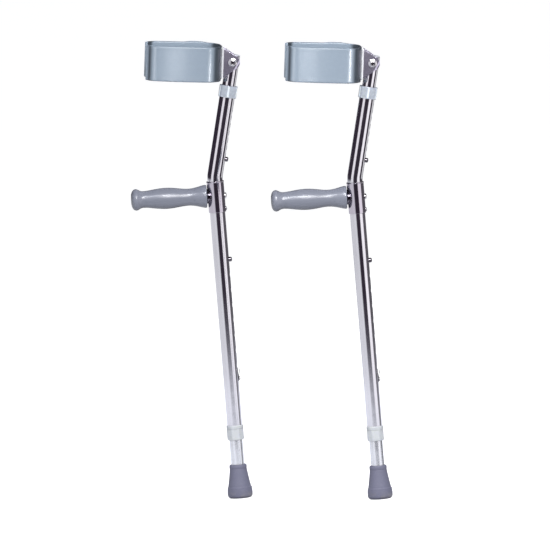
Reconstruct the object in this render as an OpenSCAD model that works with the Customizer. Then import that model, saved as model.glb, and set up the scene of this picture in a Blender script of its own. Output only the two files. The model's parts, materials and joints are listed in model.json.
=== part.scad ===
// A pair of forearm crutches with pivoting front-opening cuffs.
// Each crutch: a bent outer tube, a telescoping leg below, a telescoping cuff
// tube above, spring buttons, two locking nuts, a hand grip and a rubber tip.
// Frame: +Z up, the grip points forward to -X, the origin is the centre of the
// left crutch's tip base on the floor. The right crutch stands at -Y of the left.

/* [Outer tube] */
// Outside diameter of the outer tube
main_od = 25.4; // [25:0.1:26]
// Wall of the outer tube
main_wall = 1.5; // [1.4:0.05:1.5]
// Height of the outer tube's lower end above the floor
main_z0 = 117; // [112:1:122]
// Height at which the outer tube starts to bend back
bend_z = 530; // [528:1:540]
// Centre-line radius of the bend
bend_r = 50; // [45:1:60]
// Backward lean of the upper part, degrees
bend_a = 13.3; // [11:0.1:15]
// Length of the upper part, from the bend's corner to its open end
up_len = 146.4; // [145:0.1:149]

/* [Telescoping tubes] */
// Outside diameter of the leg tube and of the cuff tube
inner_od = 22.225; // [22:0.025:22.3]
// Wall of the leg tube and of the cuff tube
inner_wall = 1.5; // [1.2:0.05:1.6]
// Height of the leg tube's top end with the leg fully in
leg_top = 425; // [420:1:430]

/* [Height settings] */
// Spacing of the leg's holes
leg_pitch = 25.4; // [25:0.1:26]
// Number of leg holes
leg_holes = 8; // [7:1:8]
// Height of the top leg hole
leg_hole_z = 398; // [398:0.5:403]
// Spacing of the forearm holes
cuff_pitch = 12.7; // [12:0.1:13]
// Number of forearm holes
cuff_holes = 7; // [5:1:7]
// Distance of the lowest forearm hole from the bend's corner
cuff_hole_s = 33; // [32:1:36]
// Diameter of a spring button
button_d = 7.94; // [7.5:0.01:8]
// How far a spring button stands out of the outer tube
button_out = 5; // [4:0.5:6]

/* [Hand grip] */
// Height at which the grip's axis meets the outer tube's axis
grip_z = 505.3; // [503:0.1:508]
// Upward tilt of the grip, degrees
grip_tilt = 1.9; // [0:0.1:4]
// Length of the grip
grip_len = 125.3; // [120:0.1:130]
// Diameter of the steel bar inside the grip
bar_d = 19.05; // [18:0.05:19.5]

/* [Cuff] */
// Distance of the cuff's pivot from the bend's corner
pivot_s = 195.2; // [194:0.1:197]
// Backward lean of the cuff, degrees
cuff_lean = 6.5; // [6:0.1:7]
// Distance from the pivot forward to the back of the cuff
cuff_back = 19; // [18.5:0.1:20]
// Height of the cuff band
cuff_h = 59.2; // [56:0.2:59.4]
// Thickness of the cuff band with its coating
cuff_t = 4; // [3.6:0.1:4.4]
// Outer radius of the cuff's back corners
cuff_rb = 33; // [30:0.5:38]
// Half length of the flat at the cuff's back
cuff_flat = 10; // [9:0.5:12]
// Length of the cuff's side between its corner and its lip
cuff_side = 76.6; // [70:0.2:80]
// Radius that the cuff's sides are bowed to
cuff_bow = 300; // [250:10:500]
// Outer radius of the cuff's front lips
cuff_lip = 24; // [20:0.5:26]

/* [Tip] */
// Height of the rubber tip
tip_h = 55.7; // [54:0.1:57]
// Largest radius of the rubber tip
tip_r = 20.8; // [20:0.1:22]

/* [Pair] */
// Distance of the right crutch from the left one along X
pair_dx = 224.5; // [215:0.5:320]
// Distance of the right crutch from the left one along Y
pair_dy = -203; // [-220:1:-150]

/* [Hidden] */
$fn = 96;
main_r = main_od / 2;
main_ri = main_r - main_wall;
inner_r = inner_od / 2;
inner_ri = inner_r - inner_wall;
button_r = button_d / 2;
hole_r = button_r + 0.08;
bend_t = bend_r * tan(bend_a / 2);      // from the bend's corner to either end of the bend
corner_z = bend_z + bend_t;             // where the two straight axes cross
pivot_x = pivot_s * sin(bend_a);
pivot_z = corner_z + pivot_s * cos(bend_a);

steel = [0.80, 0.80, 0.83];
aluminium = [0.86, 0.86, 0.90];
vinyl = [0.47, 0.53, 0.60];
rubber = [0.30, 0.29, 0.36];
nylon = [0.86, 0.90, 0.93];
grip_grey = [0.47, 0.49, 0.57];
plug_grey = [0.75, 0.77, 0.8];

// ---- curves ----
// point at t, 0 to 1, on the Catmull-Rom curve from b to c
function catmull_rom(a, b, c, d, t) =
    0.5 * (2 * b + (c - a) * t + (2 * a - 5 * b + 4 * c - d) * t * t
        + (3 * b - a - 3 * c + d) * t * t * t);
// smooth curve through the stations, three steps from each to the next
function smooth(stations) = let (last = len(stations) - 1, steps = 3) concat(
    [for (i = [0:last - 1]) for (k = [0:steps - 1])
        catmull_rom(stations[max(i - 1, 0)], stations[i], stations[i + 1],
            stations[min(i + 2, last)], k / steps)],
    [stations[last]]);
function arc(centre, r, from, to, steps) = [for (i = [0:steps])
    let (a = from + (to - from) * i / steps) centre + r * [cos(a), sin(a)]];
function reversed(points) = [for (i = [len(points) - 1:-1:0]) points[i]];
function mirrored(points) = [for (p = points) [p[0], -p[1]]];

// ---- frames ----
// the upper part's frame: z runs up its axis from the bend's corner
module upper() translate([0, 0, corner_z]) rotate([0, bend_a, 0]) children();
// the top end of the bend: z runs up the leaning upper part
module past_bend()
    translate([bend_r, 0, bend_z]) rotate([0, bend_a, 0]) translate([-bend_r, 0, 0]) children();
// the grip's frame: z runs out along the grip from the outer tube's axis
module grip_axis() translate([0, 0, grip_z]) rotate([0, grip_tilt - 90, 0]) children();
module at_pivot() translate([pivot_x, 0, pivot_z]) children();
// the cuff's frame: its pivot at the origin, z up the cuff
module cuff_frame() at_pivot() rotate([0, cuff_lean, 0]) children();
module right() translate([pair_dx, pair_dy, 0]) children();

// ---- shared shapes ----
// solid of revolution about z; profile points are [radius, height]
module turned(profile) rotate_extrude() polygon(profile);
// a round hole or pin that runs along +X from x0 to x1 at height z
module along_x(x0, x1, r, z = 0) translate([x0, 0, z]) rotate([0, 90, 0])
    cylinder(h = x1 - x0, r = r);
// hole for a frame rivet through the +X side of the outer tube
module rivet_hole(z) along_x(8, 20, 2.05, z);
module grip_bolt_hole() grip_axis() translate([0, 0, -20]) cylinder(h = 40, r = 3.05);

// blind rivet along +X: head outside the wall at x, shank reaching in by tail
module blind_rivet(x, tail, z) {
    along_x(x - tail, x + 0.4, 2, z);
    translate([x, 0, z]) rotate([0, 90, 0])
        turned([[0, 0], [3.6, 0], [3.6, 0.5], [3.0, 1.4], [1.8, 2.0], [0, 2.2]]);
}

// spring button on the +X side of a telescoping tube, with a flange inside the tube
module snap_button() {
    top = main_r + button_out;
    edge_r = 2.2;
    flange_r = 5.4;
    flange_x = [6.7, 7.6];
    rotate([0, 90, 0]) turned(concat(
        [[0, flange_x[0]], [flange_r, flange_x[0]], [flange_r, flange_x[1]],
            [button_r, flange_x[1]]],
        arc([button_r - edge_r, top - edge_r], edge_r, 0, 90, 8),
        [[0, top]]));
}

// V-shaped strip behind a spring button, as [x, height over the button's axis]
spring_outline = [
    [6.62, 6], [6.62, -6], [0.1, -38], [-2.1, -38], [-8.95, -6], [-8.95, 6],
    [-8.15, 6], [-8.15, -6], [-1.25, -36.6], [-0.75, -36.6], [5.82, -6], [5.82, 6]
];
module button_spring()
    rotate([90, 0, 0]) linear_extrude(height = 6.6, center = true) polygon(spring_outline);

// split nylon ring round a telescoping tube, its slit on the -X side
module split_ring(h, r) {
    bore_r = inner_r + 0.07;
    slit = 1.2;
    difference() {
        turned([[bore_r, 0], [r, 0], [r, h - 1], [r - 0.8, h], [bore_r, h]]);
        translate([-r - 1, -slit / 2, -1]) cube([r, slit, h + 2]);
    }
}

// ---- outer tube and what is fixed to it ----
saddle_h = 52;
saddle_z0 = bend_z - saddle_h;
saddle_r = main_r + 1.5;
saddle_rivet_z = 483;
clip_z = 194.5;
clip_rivet_z = clip_z + 4;
bar_r = bar_d / 2;
bar_start = 15.6;                       // along the grip's axis
bar_bore_start = 34;                    // the bar is solid before this
grip_cap = 5;                           // solid end of the grip past the bar
grip_bore_r = bar_r + 0.03;
// grip's outline as [radius, distance from its inner end], for the station length below
grip_stations_len = 125.3;
grip_stations = [
    [19.0, 1.6], [18.7, 5], [17.3, 11], [15.5, 18], [14.1, 27.4], [14.2, 36], [15.3, 45],
    [16.6, 54], [17.4, 63.9], [17.3, 74], [16.3, 84], [14.7, 95], [13.8, 104.5], [14.3, 109],
    [15.8, 112.5], [17.3, 115.2], [17.8, 117.3], [17.4, 119.8], [15.9, 122.2], [13.4, 124],
    [10.8, 125], [9.9, 125.3]
];

// solid bar along the outer tube's axis, run past both ends;
// the half turns bring the cylinders' seams to the bend's seam
module bent_bar(r, past) {
    translate([0, 0, main_z0 - past]) rotate([0, 0, 180])
        cylinder(h = bend_z - main_z0 + past, r = r);
    translate([bend_r, 0, bend_z]) rotate([90, 0, 0])
        rotate_extrude(angle = bend_a, start = 180 - bend_a)
            translate([bend_r, 0]) circle(r = r);
    past_bend() rotate([0, 0, 180]) cylinder(h = up_len - bend_t + past, r = r);
}
module button_hole(z) along_x(main_ri - 3, main_r + 1, hole_r, z);
module main_tube() color(aluminium) difference() {
    bent_bar(main_r, 0);
    bent_bar(main_ri, 1);
    for (k = [0:leg_holes - 1]) button_hole(leg_hole_z - k * leg_pitch);
    upper() for (k = [0:cuff_holes - 1]) button_hole(cuff_hole_s + k * cuff_pitch);
    grip_bolt_hole();
    for (z = [saddle_rivet_z, clip_rivet_z]) rivet_hole(z);
}

// sleeve with a small rim at its top and a round boss toward the grip
module handle_saddle() color(steel) difference() {
    boss_start = 9;
    rim_r = saddle_r + 0.5;
    union() {
        translate([0, 0, saddle_z0]) turned([
            [main_r, 0], [saddle_r - 0.5, 0], [saddle_r, 0.5], [saddle_r, saddle_h - 1.4],
            [rim_r, saddle_h - 0.9], [rim_r, saddle_h - 0.4], [saddle_r, saddle_h],
            [main_r, saddle_h]]);
        grip_axis() translate([0, 0, boss_start])
            cylinder(h = bar_start - 0.05 - boss_start, r = 11);
    }
    translate([0, 0, saddle_z0 - 1]) cylinder(h = 60, r = main_r + 0.05);
    grip_bolt_hole();
    rivet_hole(saddle_rivet_z);
}

module handle_bar() color(steel) grip_axis() difference() {
    translate([0, 0, bar_start]) cylinder(h = grip_len - grip_cap - 0.5, r = bar_r);
    translate([0, 0, bar_bore_start]) cylinder(h = grip_len, r = bar_r - 1.8);
    translate([0, 0, 14]) cylinder(h = 30, r = 3.0);
}

module hand_grip() color(grip_grey) grip_axis() translate([0, 0, bar_start + 0.1])
    turned(concat(
        [[grip_bore_r, 0], [17.4, 0], [18.5, 0.6]],
        [for (p = smooth(grip_stations)) [p[0], p[1] * grip_len / grip_stations_len]],
        [[0, grip_len], [0, grip_len - grip_cap], [grip_bore_r, grip_len - grip_cap]]));

// bolt along the grip's axis, its socketed head behind the saddle
module handle_bolt() color(steel) grip_axis() rotate([180, 0, 0]) {
    reach = 31;
    translate([0, 0, -reach]) cylinder(h = reach + saddle_r + 1, r = 2.95);
    translate([0, 0, saddle_r + 0.28]) turned([
        [0, 0], [5, 0], [5, 0.9], [4.3, 2.1], [3, 2.8], [1.6, 2.8], [1.6, 1.4], [0, 1.4]]);
}

module frame_rivets() color(steel) {
    blind_rivet(saddle_r + 0.03, 4.2, saddle_rivet_z);
    blind_rivet(main_r + 1.05, 2.4, clip_rivet_z);
}

// strip riveted to the back of the outer tube, its upper end sloping outward
clip_outline = [                        // [distance out of the tube, height]
    [0.02, 0], [1.02, 0], [1.02, 8.2], [3.6, 20.4],
    [3.6, 21.1], [2.6, 21.1], [2.6, 20.6], [0.02, 8.4]
];
module stop_clip() color(steel) difference() {
    translate([0, 0, clip_z]) rotate([90, 0, 0]) linear_extrude(height = 8, center = true)
        polygon([for (p = clip_outline) [main_r + p[0], p[1]]]);
    rivet_hole(clip_rivet_z);
}

// ---- lock nuts: a sleeve, a ring and a nut at each end of the outer tube ----
sleeve_bore_r = inner_r + 0.14;
sleeve_seat_r = main_r + 0.05;
nut_bore_r = inner_r + 0.2;
lower_nut_z = main_z0 - 19.5;
lower_nut_h = 17.5;
lower_nut_floor = 2.3;
upper_nut_s = up_len - 10.6;
upper_nut_h = 19.4;

module lower_sleeve() color(nylon) translate([0, 0, main_z0]) turned([
    [sleeve_bore_r, -13.5], [12.55, -13.5], [12.55, -1.8], [13.5, -1.8], [14, -1.3],
    [14, 4], [13.4, 4.6], [sleeve_seat_r, 4.6], [sleeve_seat_r, -0.05],
    [sleeve_bore_r, -0.05]]);

module lower_ring() color(nylon)
    translate([0, 0, lower_nut_z + lower_nut_floor + 0.1]) split_ring(3.4, 12.3);

// eight-sided nut with its corners turned off
module lower_lock_nut() color(nylon) translate([0, 0, lower_nut_z]) difference() {
    h = lower_nut_h;
    intersection() {
        rotate([0, 0, 22.5]) cylinder(h = h, r = 13.8 / cos(22.5), $fn = 8);
        turned([[0, 0], [13.6, 0], [15, 1.4], [15, h - 1.2], [14.2, h], [0, h]]);
    }
    translate([0, 0, lower_nut_floor]) cylinder(h = 20, r = 12.62);
    translate([0, 0, -1]) cylinder(h = 10, r = nut_bore_r);
}

module upper_sleeve() color(nylon) upper() translate([0, 0, up_len]) turned([
    [sleeve_seat_r, -9], [13.55, -9], [13.55, 2], [sleeve_bore_r, 2],
    [sleeve_bore_r, 0.05], [sleeve_seat_r, 0.05]]);

module upper_ring() color(nylon) upper() translate([0, 0, up_len + 2.2]) split_ring(3.8, 13.2);

// six-sided nut with its corners turned off
module upper_lock_nut() color(nylon) upper() translate([0, 0, upper_nut_s]) difference() {
    h = upper_nut_h;
    intersection() {
        rotate([0, 0, 30]) cylinder(h = h, r = 14.7 / cos(30), $fn = 6);
        turned([[0, 0], [15.4, 0], [17.2, 1.8], [17.2, h - 1.8], [15.4, h], [0, h]]);
    }
    translate([0, 0, -1]) cylinder(h = 17.7, r = 13.62);
    cylinder(h = 40, r = nut_bore_r);
}

// ---- leg ----
tip_floor = 6;                          // rubber under the washer
washer_z0 = tip_floor + 0.05;
washer_h = 1.5;
leg_z0 = washer_z0 + washer_h + 0.05;

// hole for a spring button in a telescoping tube
module inner_button_hole(z) along_x(5, inner_r + 1, hole_r, z);
module leg_tube() color(aluminium) difference() {
    translate([0, 0, leg_z0]) cylinder(h = leg_top - leg_z0, r = inner_r);
    translate([0, 0, leg_z0 - 1]) cylinder(h = leg_top, r = inner_ri);
    inner_button_hole(leg_hole_z);
}
module leg_button() color(steel) translate([0, 0, leg_hole_z]) snap_button();
module leg_button_spring() color(steel) translate([0, 0, leg_hole_z]) button_spring();
module tip_washer() color(steel) translate([0, 0, washer_z0]) difference() {
    cylinder(h = washer_h, r = inner_r - 0.1);
    translate([0, 0, -1]) cylinder(h = 4, r = 4);
}

// tip's underside with two ring grooves, as [radius, height]
tip_base = [
    [0, 0], [6, 0], [6, 1.5], [8, 1.5], [8, 0],
    [11, 0], [11, 1.5], [13, 1.5], [13, 0], [16.2, 0]
];
// tip's side, as [radius, height]
tip_stations = [
    [18.6, 1.2], [20.1, 3.4], [tip_r, 6], [tip_r - 0.1, 12], [tip_r - 0.7, 17],
    [tip_r - 1.4, 18.4], [tip_r - 1.9, 21], [tip_r - 3.1, 26], [tip_r - 4.3, 33],
    [tip_r - 5.9, 43], [tip_r - 6.8, 51]
];
module rubber_tip() color(rubber) turned(concat(
    tip_base,
    smooth(tip_stations),
    [[tip_r - 7, tip_h - 0.8], [tip_r - 7.8, tip_h], [inner_r + 0.04, tip_h],
        [inner_r + 0.04, tip_floor], [0, tip_floor]]));

// ---- cuff tube and pivot ----
cuff_tube_s0 = 12;                      // lower end, from the bend's corner
cuff_tube_top = pivot_s + 11;
plate = 1.8;                            // cuff bracket's sheet
ear_in = inner_r + 0.29;                // inner and outer faces of the bracket's ears, from y = 0
ear_out = ear_in + plate;
pivot_seat = ear_out + 0.05;            // where the bolt's head and the nut sit

module cuff_tube() color(aluminium) upper() difference() {
    translate([0, 0, cuff_tube_s0]) cylinder(h = cuff_tube_top - cuff_tube_s0, r = inner_r);
    cylinder(h = 300, r = inner_ri);
    inner_button_hole(cuff_hole_s);
    translate([0, 0, pivot_s]) rotate([90, 0, 0]) cylinder(h = 40, r = 3, center = true);
}
module cuff_button() color(steel) upper() translate([0, 0, cuff_hole_s]) snap_button();
module cuff_button_spring() color(steel) upper() translate([0, 0, cuff_hole_s])
    mirror([0, 0, 1]) button_spring();
module cuff_tube_plug() color(plug_grey) upper() translate([0, 0, cuff_tube_top]) turned([
    [0, -6.6], [inner_ri - 0.4, -6.6], [inner_ri - 0.05, -6], [inner_ri - 0.05, 0.03],
    [inner_r, 0.03], [inner_r, 0.8], [inner_r - 1.2, 1.6], [0, 1.8]]);

// bolt along Y, its socketed head at -Y
module pivot_bolt() color(steel) at_pivot() rotate([90, 0, 0]) {
    translate([0, 0, -ear_out - 4.8]) cylinder(h = 2 * ear_out + 5.5, r = 2.95);
    translate([0, 0, pivot_seat]) turned([
        [0, 0], [7.3, 0], [7.3, 0.7], [6.9, 1], [5.5, 1.2], [5.2, 2.4], [4.3, 3.3],
        [2.3, 3.6], [2.3, 1.8], [0, 1.8]]);
}

// hexagon nut with a round collar, at +Y
module pivot_nut() color(steel) at_pivot() translate([0, pivot_seat, 0])
    rotate([-90, 0, 0]) difference() {
        h = 3.6;
        union() {
            intersection() {
                cylinder(h = h, r = 5 / cos(30), $fn = 6);
                turned([[0, 0], [5.2, 0], [5.8, 0.6], [5.8, h - 0.6], [5.2, h], [0, h]]);
            }
            cylinder(h = 4.5, r = 4.4);
        }
        translate([0, 0, -1]) cylinder(h = 8, r = 3.0);
    }

// ---- cuff bracket ----
cuff_rivet_z = [-18, 18];               // over the pivot
nose_r = 12;
bracket_corner_r = 4;
ear_top = [-cuff_back, 26];             // front corners of an ear
ear_bottom = [-cuff_back, -28.4];

// where a line from the point touches the nose; side is 1 or -1
function tangent(point, side) =
    let (a = atan2(point[1], point[0]) + side * acos(nose_r / norm(point)))
    nose_r * [cos(a), sin(a)];
// side view of the bracket: two front corners and a round nose over the pivot
module ear_side() {
    circle(r = nose_r);
    polygon([ear_top, ear_bottom, tangent(ear_bottom, 1), [0, 0], tangent(ear_top, -1)]);
}
// plan of a block with its two front corners rounded
module channel(front, half_w, r, length) {
    translate([front + r, -half_w]) square([length, 2 * half_w]);
    translate([front, -half_w + r]) square([r + 1, 2 * (half_w - r)]);
    for (s = [-1, 1]) translate([front + r, s * (half_w - r)]) circle(r = r);
}
module cuff_rivet_holes() for (z = cuff_rivet_z)
    along_x(-cuff_back - cuff_t - 3, -cuff_back + 5, 2.5, z);
module cuff_bracket() color(steel) cuff_frame() difference() {
    intersection() {
        rotate([90, 0, 0]) linear_extrude(height = 60, center = true) ear_side();
        translate([0, 0, -40]) linear_extrude(height = 80) difference() {
            channel(-cuff_back, ear_out, bracket_corner_r, 40);
            channel(-cuff_back + plate, ear_in, bracket_corner_r - plate, 60);
        }
    }
    rotate([90, 0, 0]) cylinder(h = 60, r = 3.02, center = true);
    cuff_rivet_holes();
}

// ---- cuff band: half its plan is a flat and three arcs, mirrored over y = 0 ----
side_a = asin(cuff_side / 2 / cuff_bow);    // half the angle a bowed side spans
back_centre = [-cuff_back - cuff_rb, cuff_flat];
side_centre = back_centre + (cuff_rb - cuff_bow) * [sin(side_a), cos(side_a)];
lip_centre = side_centre + (cuff_bow - cuff_lip) * [-sin(side_a), cos(side_a)];
lip_end = 160;                          // angle at which each lip ends
cuff_mid = -2.4;                        // height of the band's middle over the pivot
core_t = 1.6;
core_h = cuff_h - 3;
core_depth = (cuff_t - core_t) / 2;     // coating over the core's outer face
core_cut = 9;                           // degrees by which the core's lips are shorter
core_gap = 0.03;

// half of the plan at a depth inside the outer surface, its lip cut short by some degrees
function cuff_line(depth, cut) = concat(
    [[-cuff_back - depth, 0]],
    arc(back_centre, cuff_rb - depth, 0, 90 - side_a, 14),
    arc(side_centre, cuff_bow - depth, 90 - side_a + 0.8, 90 + side_a - 0.8, 10),
    arc(lip_centre, cuff_lip - depth, 90 + side_a, lip_end - cut, 12));
// the band between two depths
module cuff_slab(depth0, depth1, cut, h) {
    outer = cuff_line(depth0, cut);
    inner = cuff_line(depth1, cut);
    translate([0, 0, cuff_mid - h / 2]) linear_extrude(height = h)
        polygon(concat(reversed(mirrored(outer)), outer, reversed(inner), mirrored(inner)));
}

module cuff_core() color(steel) cuff_frame() difference() {
    cuff_slab(core_depth, core_depth + core_t, core_cut, core_h);
    cuff_rivet_holes();
}

module cuff_cover() color(vinyl) cuff_frame() difference() {
    top = cuff_h / 2;
    bead = lip_centre + (cuff_lip - cuff_t / 2) * [cos(lip_end), sin(lip_end)];
    union() {
        cuff_slab(0, cuff_t, 0, cuff_h);
        // bead down the end of each lip
        for (s = [-1, 1]) translate([bead[0], s * bead[1], cuff_mid])
            turned([[0, -top], [2, -top], [3, 1 - top], [3, top - 1], [2, top], [0, top]]);
    }
    cuff_slab(core_depth - core_gap, core_depth + core_t + core_gap, core_cut - 0.2,
        core_h + 2 * core_gap);
    cuff_rivet_holes();
}

module cuff_rivets() color(steel) cuff_frame()
    for (z = cuff_rivet_z) translate([-cuff_back, 0, z]) {
        along_x(-cuff_t - 0.6, plate + 0.6, 2.4);
        translate([-cuff_t - 0.04, 0, 0]) rotate([0, -90, 0])
            turned([[0, 0], [4.6, 0], [4.4, 0.6], [3.2, 1.3], [1.6, 1.6], [0, 1.7]]);
        translate([plate + 0.04, 0, 0]) rotate([0, 90, 0])
            turned([[0, 0], [3.8, 0], [3.8, 0.5], [3, 1.2], [0, 1.4]]);
    }

main_tube();  // left_main_tube
handle_saddle();  // left_handle_saddle
handle_bar();  // left_handle_bar
hand_grip();  // left_hand_grip
handle_bolt();  // left_handle_bolt
frame_rivets();  // left_frame_rivets
stop_clip();  // left_stop_clip
lower_sleeve();  // left_lower_sleeve
lower_ring();  // left_lower_ring
lower_lock_nut();  // left_lower_lock_nut
upper_sleeve();  // left_upper_sleeve
upper_ring();  // left_upper_ring
upper_lock_nut();  // left_upper_lock_nut
leg_tube();  // left_leg_tube
leg_button();  // left_leg_button
leg_button_spring();  // left_leg_button_spring
tip_washer();  // left_tip_washer
rubber_tip();  // left_rubber_tip
cuff_tube();  // left_cuff_tube
cuff_button();  // left_cuff_button
cuff_button_spring();  // left_cuff_button_spring
cuff_tube_plug();  // left_cuff_tube_plug
pivot_bolt();  // left_pivot_bolt
pivot_nut();  // left_pivot_nut
cuff_bracket();  // left_cuff_bracket
cuff_core();  // left_cuff_core
cuff_cover();  // left_cuff_cover
cuff_rivets();  // left_cuff_rivets
right() main_tube();  // right_main_tube
right() handle_saddle();  // right_handle_saddle
right() handle_bar();  // right_handle_bar
right() hand_grip();  // right_hand_grip
right() handle_bolt();  // right_handle_bolt
right() frame_rivets();  // right_frame_rivets
right() stop_clip();  // right_stop_clip
right() lower_sleeve();  // right_lower_sleeve
right() lower_ring();  // right_lower_ring
right() lower_lock_nut();  // right_lower_lock_nut
right() upper_sleeve();  // right_upper_sleeve
right() upper_ring();  // right_upper_ring
right() upper_lock_nut();  // right_upper_lock_nut
right() leg_tube();  // right_leg_tube
right() leg_button();  // right_leg_button
right() leg_button_spring();  // right_leg_button_spring
right() tip_washer();  // right_tip_washer
right() rubber_tip();  // right_rubber_tip
right() cuff_tube();  // right_cuff_tube
right() cuff_button();  // right_cuff_button
right() cuff_button_spring();  // right_cuff_button_spring
right() cuff_tube_plug();  // right_cuff_tube_plug
right() pivot_bolt();  // right_pivot_bolt
right() pivot_nut();  // right_pivot_nut
right() cuff_bracket();  // right_cuff_bracket
right() cuff_core();  // right_cuff_core
right() cuff_cover();  // right_cuff_cover
right() cuff_rivets();  // right_cuff_rivets
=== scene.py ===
# A pair of forearm crutches, each standing on its rubber tip with its lower tube along +Z.
# The upper tube leans towards +X, the hand grip points to -X and the cuff opens to -X.
# Shapes are drawn for the left crutch, whose tip stands at the origin, and reused for the right.
# Shapes are in millimetres (MM turns them into metres); lights, camera and shaders are in metres.
import json
import math
from functools import cached_property

import bmesh
import bpy
import numpy as np
from mathutils import Matrix, Vector


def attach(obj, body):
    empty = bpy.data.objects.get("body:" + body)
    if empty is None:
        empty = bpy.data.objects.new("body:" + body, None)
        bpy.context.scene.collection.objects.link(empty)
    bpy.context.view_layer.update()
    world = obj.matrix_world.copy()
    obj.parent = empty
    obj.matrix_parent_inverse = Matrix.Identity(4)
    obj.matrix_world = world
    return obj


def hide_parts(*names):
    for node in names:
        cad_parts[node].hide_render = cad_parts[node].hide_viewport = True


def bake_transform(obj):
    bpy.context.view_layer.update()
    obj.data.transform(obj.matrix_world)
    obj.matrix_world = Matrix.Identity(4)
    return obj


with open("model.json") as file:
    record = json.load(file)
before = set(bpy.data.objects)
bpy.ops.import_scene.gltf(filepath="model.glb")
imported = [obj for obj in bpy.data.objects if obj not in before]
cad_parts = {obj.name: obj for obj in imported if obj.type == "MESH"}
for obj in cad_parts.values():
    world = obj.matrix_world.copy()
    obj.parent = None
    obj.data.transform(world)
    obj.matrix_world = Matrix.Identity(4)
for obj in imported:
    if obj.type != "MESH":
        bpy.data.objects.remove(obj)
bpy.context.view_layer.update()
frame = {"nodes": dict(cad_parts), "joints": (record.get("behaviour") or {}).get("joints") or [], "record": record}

NODES = frame["nodes"]
RECORD = frame["record"]
MOUNTS = {m["name"]: m for m in RECORD["mounts"]}
JOINTS = {j["name"]: j for j in frame["joints"]}
SIDES = ("left", "right")
OFFSET = {side: Vector(MOUNTS[f"{side}_tip_base"]["pos_m"]) for side in SIDES}
COLLECTION = bpy.context.scene.collection
MM = 0.001


# ---------------------------------------------------------------- frames of one crutch
def at(x, y, z):
    return Matrix.Translation(Vector((x, y, z)) * MM)


def turn(angle, axis):
    return Matrix.Rotation(angle, 4, axis)


def along_x(base, z):
    """Frame whose z runs along the base frame's +X, at height z."""
    return base @ at(0, 0, z) @ turn(math.pi / 2, "Y")


UPPER_AXIS = Vector(JOINTS["left_cuff_slide"]["axis"]).normalized()
LEAN = math.atan2(UPPER_AXIS.x, UPPER_AXIS.z)
PIVOT = Vector(JOINTS["left_cuff_pivot"]["pos_m"])
CORNER_Z = PIVOT.z - PIVOT.x / math.tan(LEAN)      # where the two tube axes meet, metres
CUFF_LEAN = math.radians(6.5)
GRIP_HOLD = Vector(MOUNTS["left_hand_grip_hold"]["pos_m"])
GRIP_AXIS = Vector(MOUNTS["left_hand_grip_hold"]["axis"]).normalized()
GRIP_TILT = math.atan2(GRIP_AXIS.z, -GRIP_AXIS.x)
GRIP_Z = GRIP_HOLD.z + GRIP_HOLD.x * math.tan(GRIP_TILT)

LOWER = Matrix.Identity(4)
UPPER = Matrix.Translation((0, 0, CORNER_Z)) @ turn(LEAN, "Y")
GRIP = Matrix.Translation((0, 0, GRIP_Z)) @ turn(GRIP_TILT - math.pi / 2, "Y")
CUFF = Matrix.Translation(PIVOT) @ turn(CUFF_LEAN, "Y")

# ---------------------------------------------------------------- shared sizes, mm
TUBE_WALL = 1.5
MAIN_R = 12.7                          # bent outer tube
MAIN_BORE = MAIN_R - TUBE_WALL
INNER_R = 11.1125                      # leg and cuff tubes, which slide inside it
INNER_BORE = INNER_R - TUBE_WALL
MAIN_Z0 = 117.0                        # lower end of the outer tube
BEND_Z, BEND_R = 530.0, 50.0           # start of the bend and its centre-line radius
BEND_TANGENT = BEND_R * math.tan(LEAN / 2)
UPPER_LEN = 146.4                      # corner to the outer tube's upper end
SADDLE_R = 14.2
SADDLE_BORE = 12.72
SADDLE_LEN = 52
SADDLE_Z0 = BEND_Z - SADDLE_LEN
BOSS_R = 11.0
BOLT_HOLE_R, RIVET_HOLE_R, BUTTON_HOLE_R = 3.05, 2.05, 4.05
RIVET_Z = 483.0
CLIP_Z = 194.5
CLIP_RIVET_Z = CLIP_Z + 4
LEG_HOLE_Z, LEG_PITCH, LEG_HOLES = 398.0, 25.4, 8        # from the top hole down
CUFF_HOLE_Z, CUFF_PITCH, CUFF_HOLES = 33.0, 12.7, 7      # up the upper tube
PIVOT_UP = 195.2                       # corner to the cuff pivot
CUFF_TUBE_TOP = PIVOT_UP + 11
PLATE = 1.8                            # sheet thickness of the cuff bracket
EAR_OUT = 11.4025 + PLATE              # half width over the bracket's ears
CUFF_BACK = 19.0                       # closed side of the cuff lies this far to -X of the pivot
CUFF_WALL = 4.0
CUFF_RIVET_Z = (-18, 18)


# ---------------------------------------------------------------- mesh helpers
def place(matrix, x, y, z):
    return matrix @ Vector((x * MM, y * MM, z * MM))


def mesh_from(verts, faces):
    mesh = bpy.data.meshes.new("piece")
    mesh.from_pydata([tuple(v) for v in verts], [], faces)
    mesh.validate()
    bm = bmesh.new()
    bm.from_mesh(mesh)
    bmesh.ops.remove_doubles(bm, verts=bm.verts, dist=1e-6)
    bmesh.ops.recalc_face_normals(bm, faces=bm.faces)
    bm.to_mesh(mesh)
    bm.free()
    mesh.polygons.foreach_set("use_smooth", [True] * len(mesh.polygons))
    return mesh


def skin(rings, closed, capped=False):
    """Skins neighbouring rings of points. A ring of one point is a pole."""
    verts, index, faces = [], [], []
    for ring in rings:
        index.append(range(len(verts), len(verts) + len(ring)))
        verts += ring
    following = index[1:] + index[:1] if closed else index[1:]
    for a, b in zip(index, following):
        count = max(len(a), len(b))
        for k in range(count):
            j = (k + 1) % count
            if len(a) == 1:
                faces.append((a[0], b[j], b[k]))
            elif len(b) == 1:
                faces.append((a[k], a[j], b[0]))
            else:
                faces.append((a[k], a[j], b[j], b[k]))
    if capped:
        faces += [tuple(index[0]), tuple(reversed(index[-1]))]
    return mesh_from(verts, faces)


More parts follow.
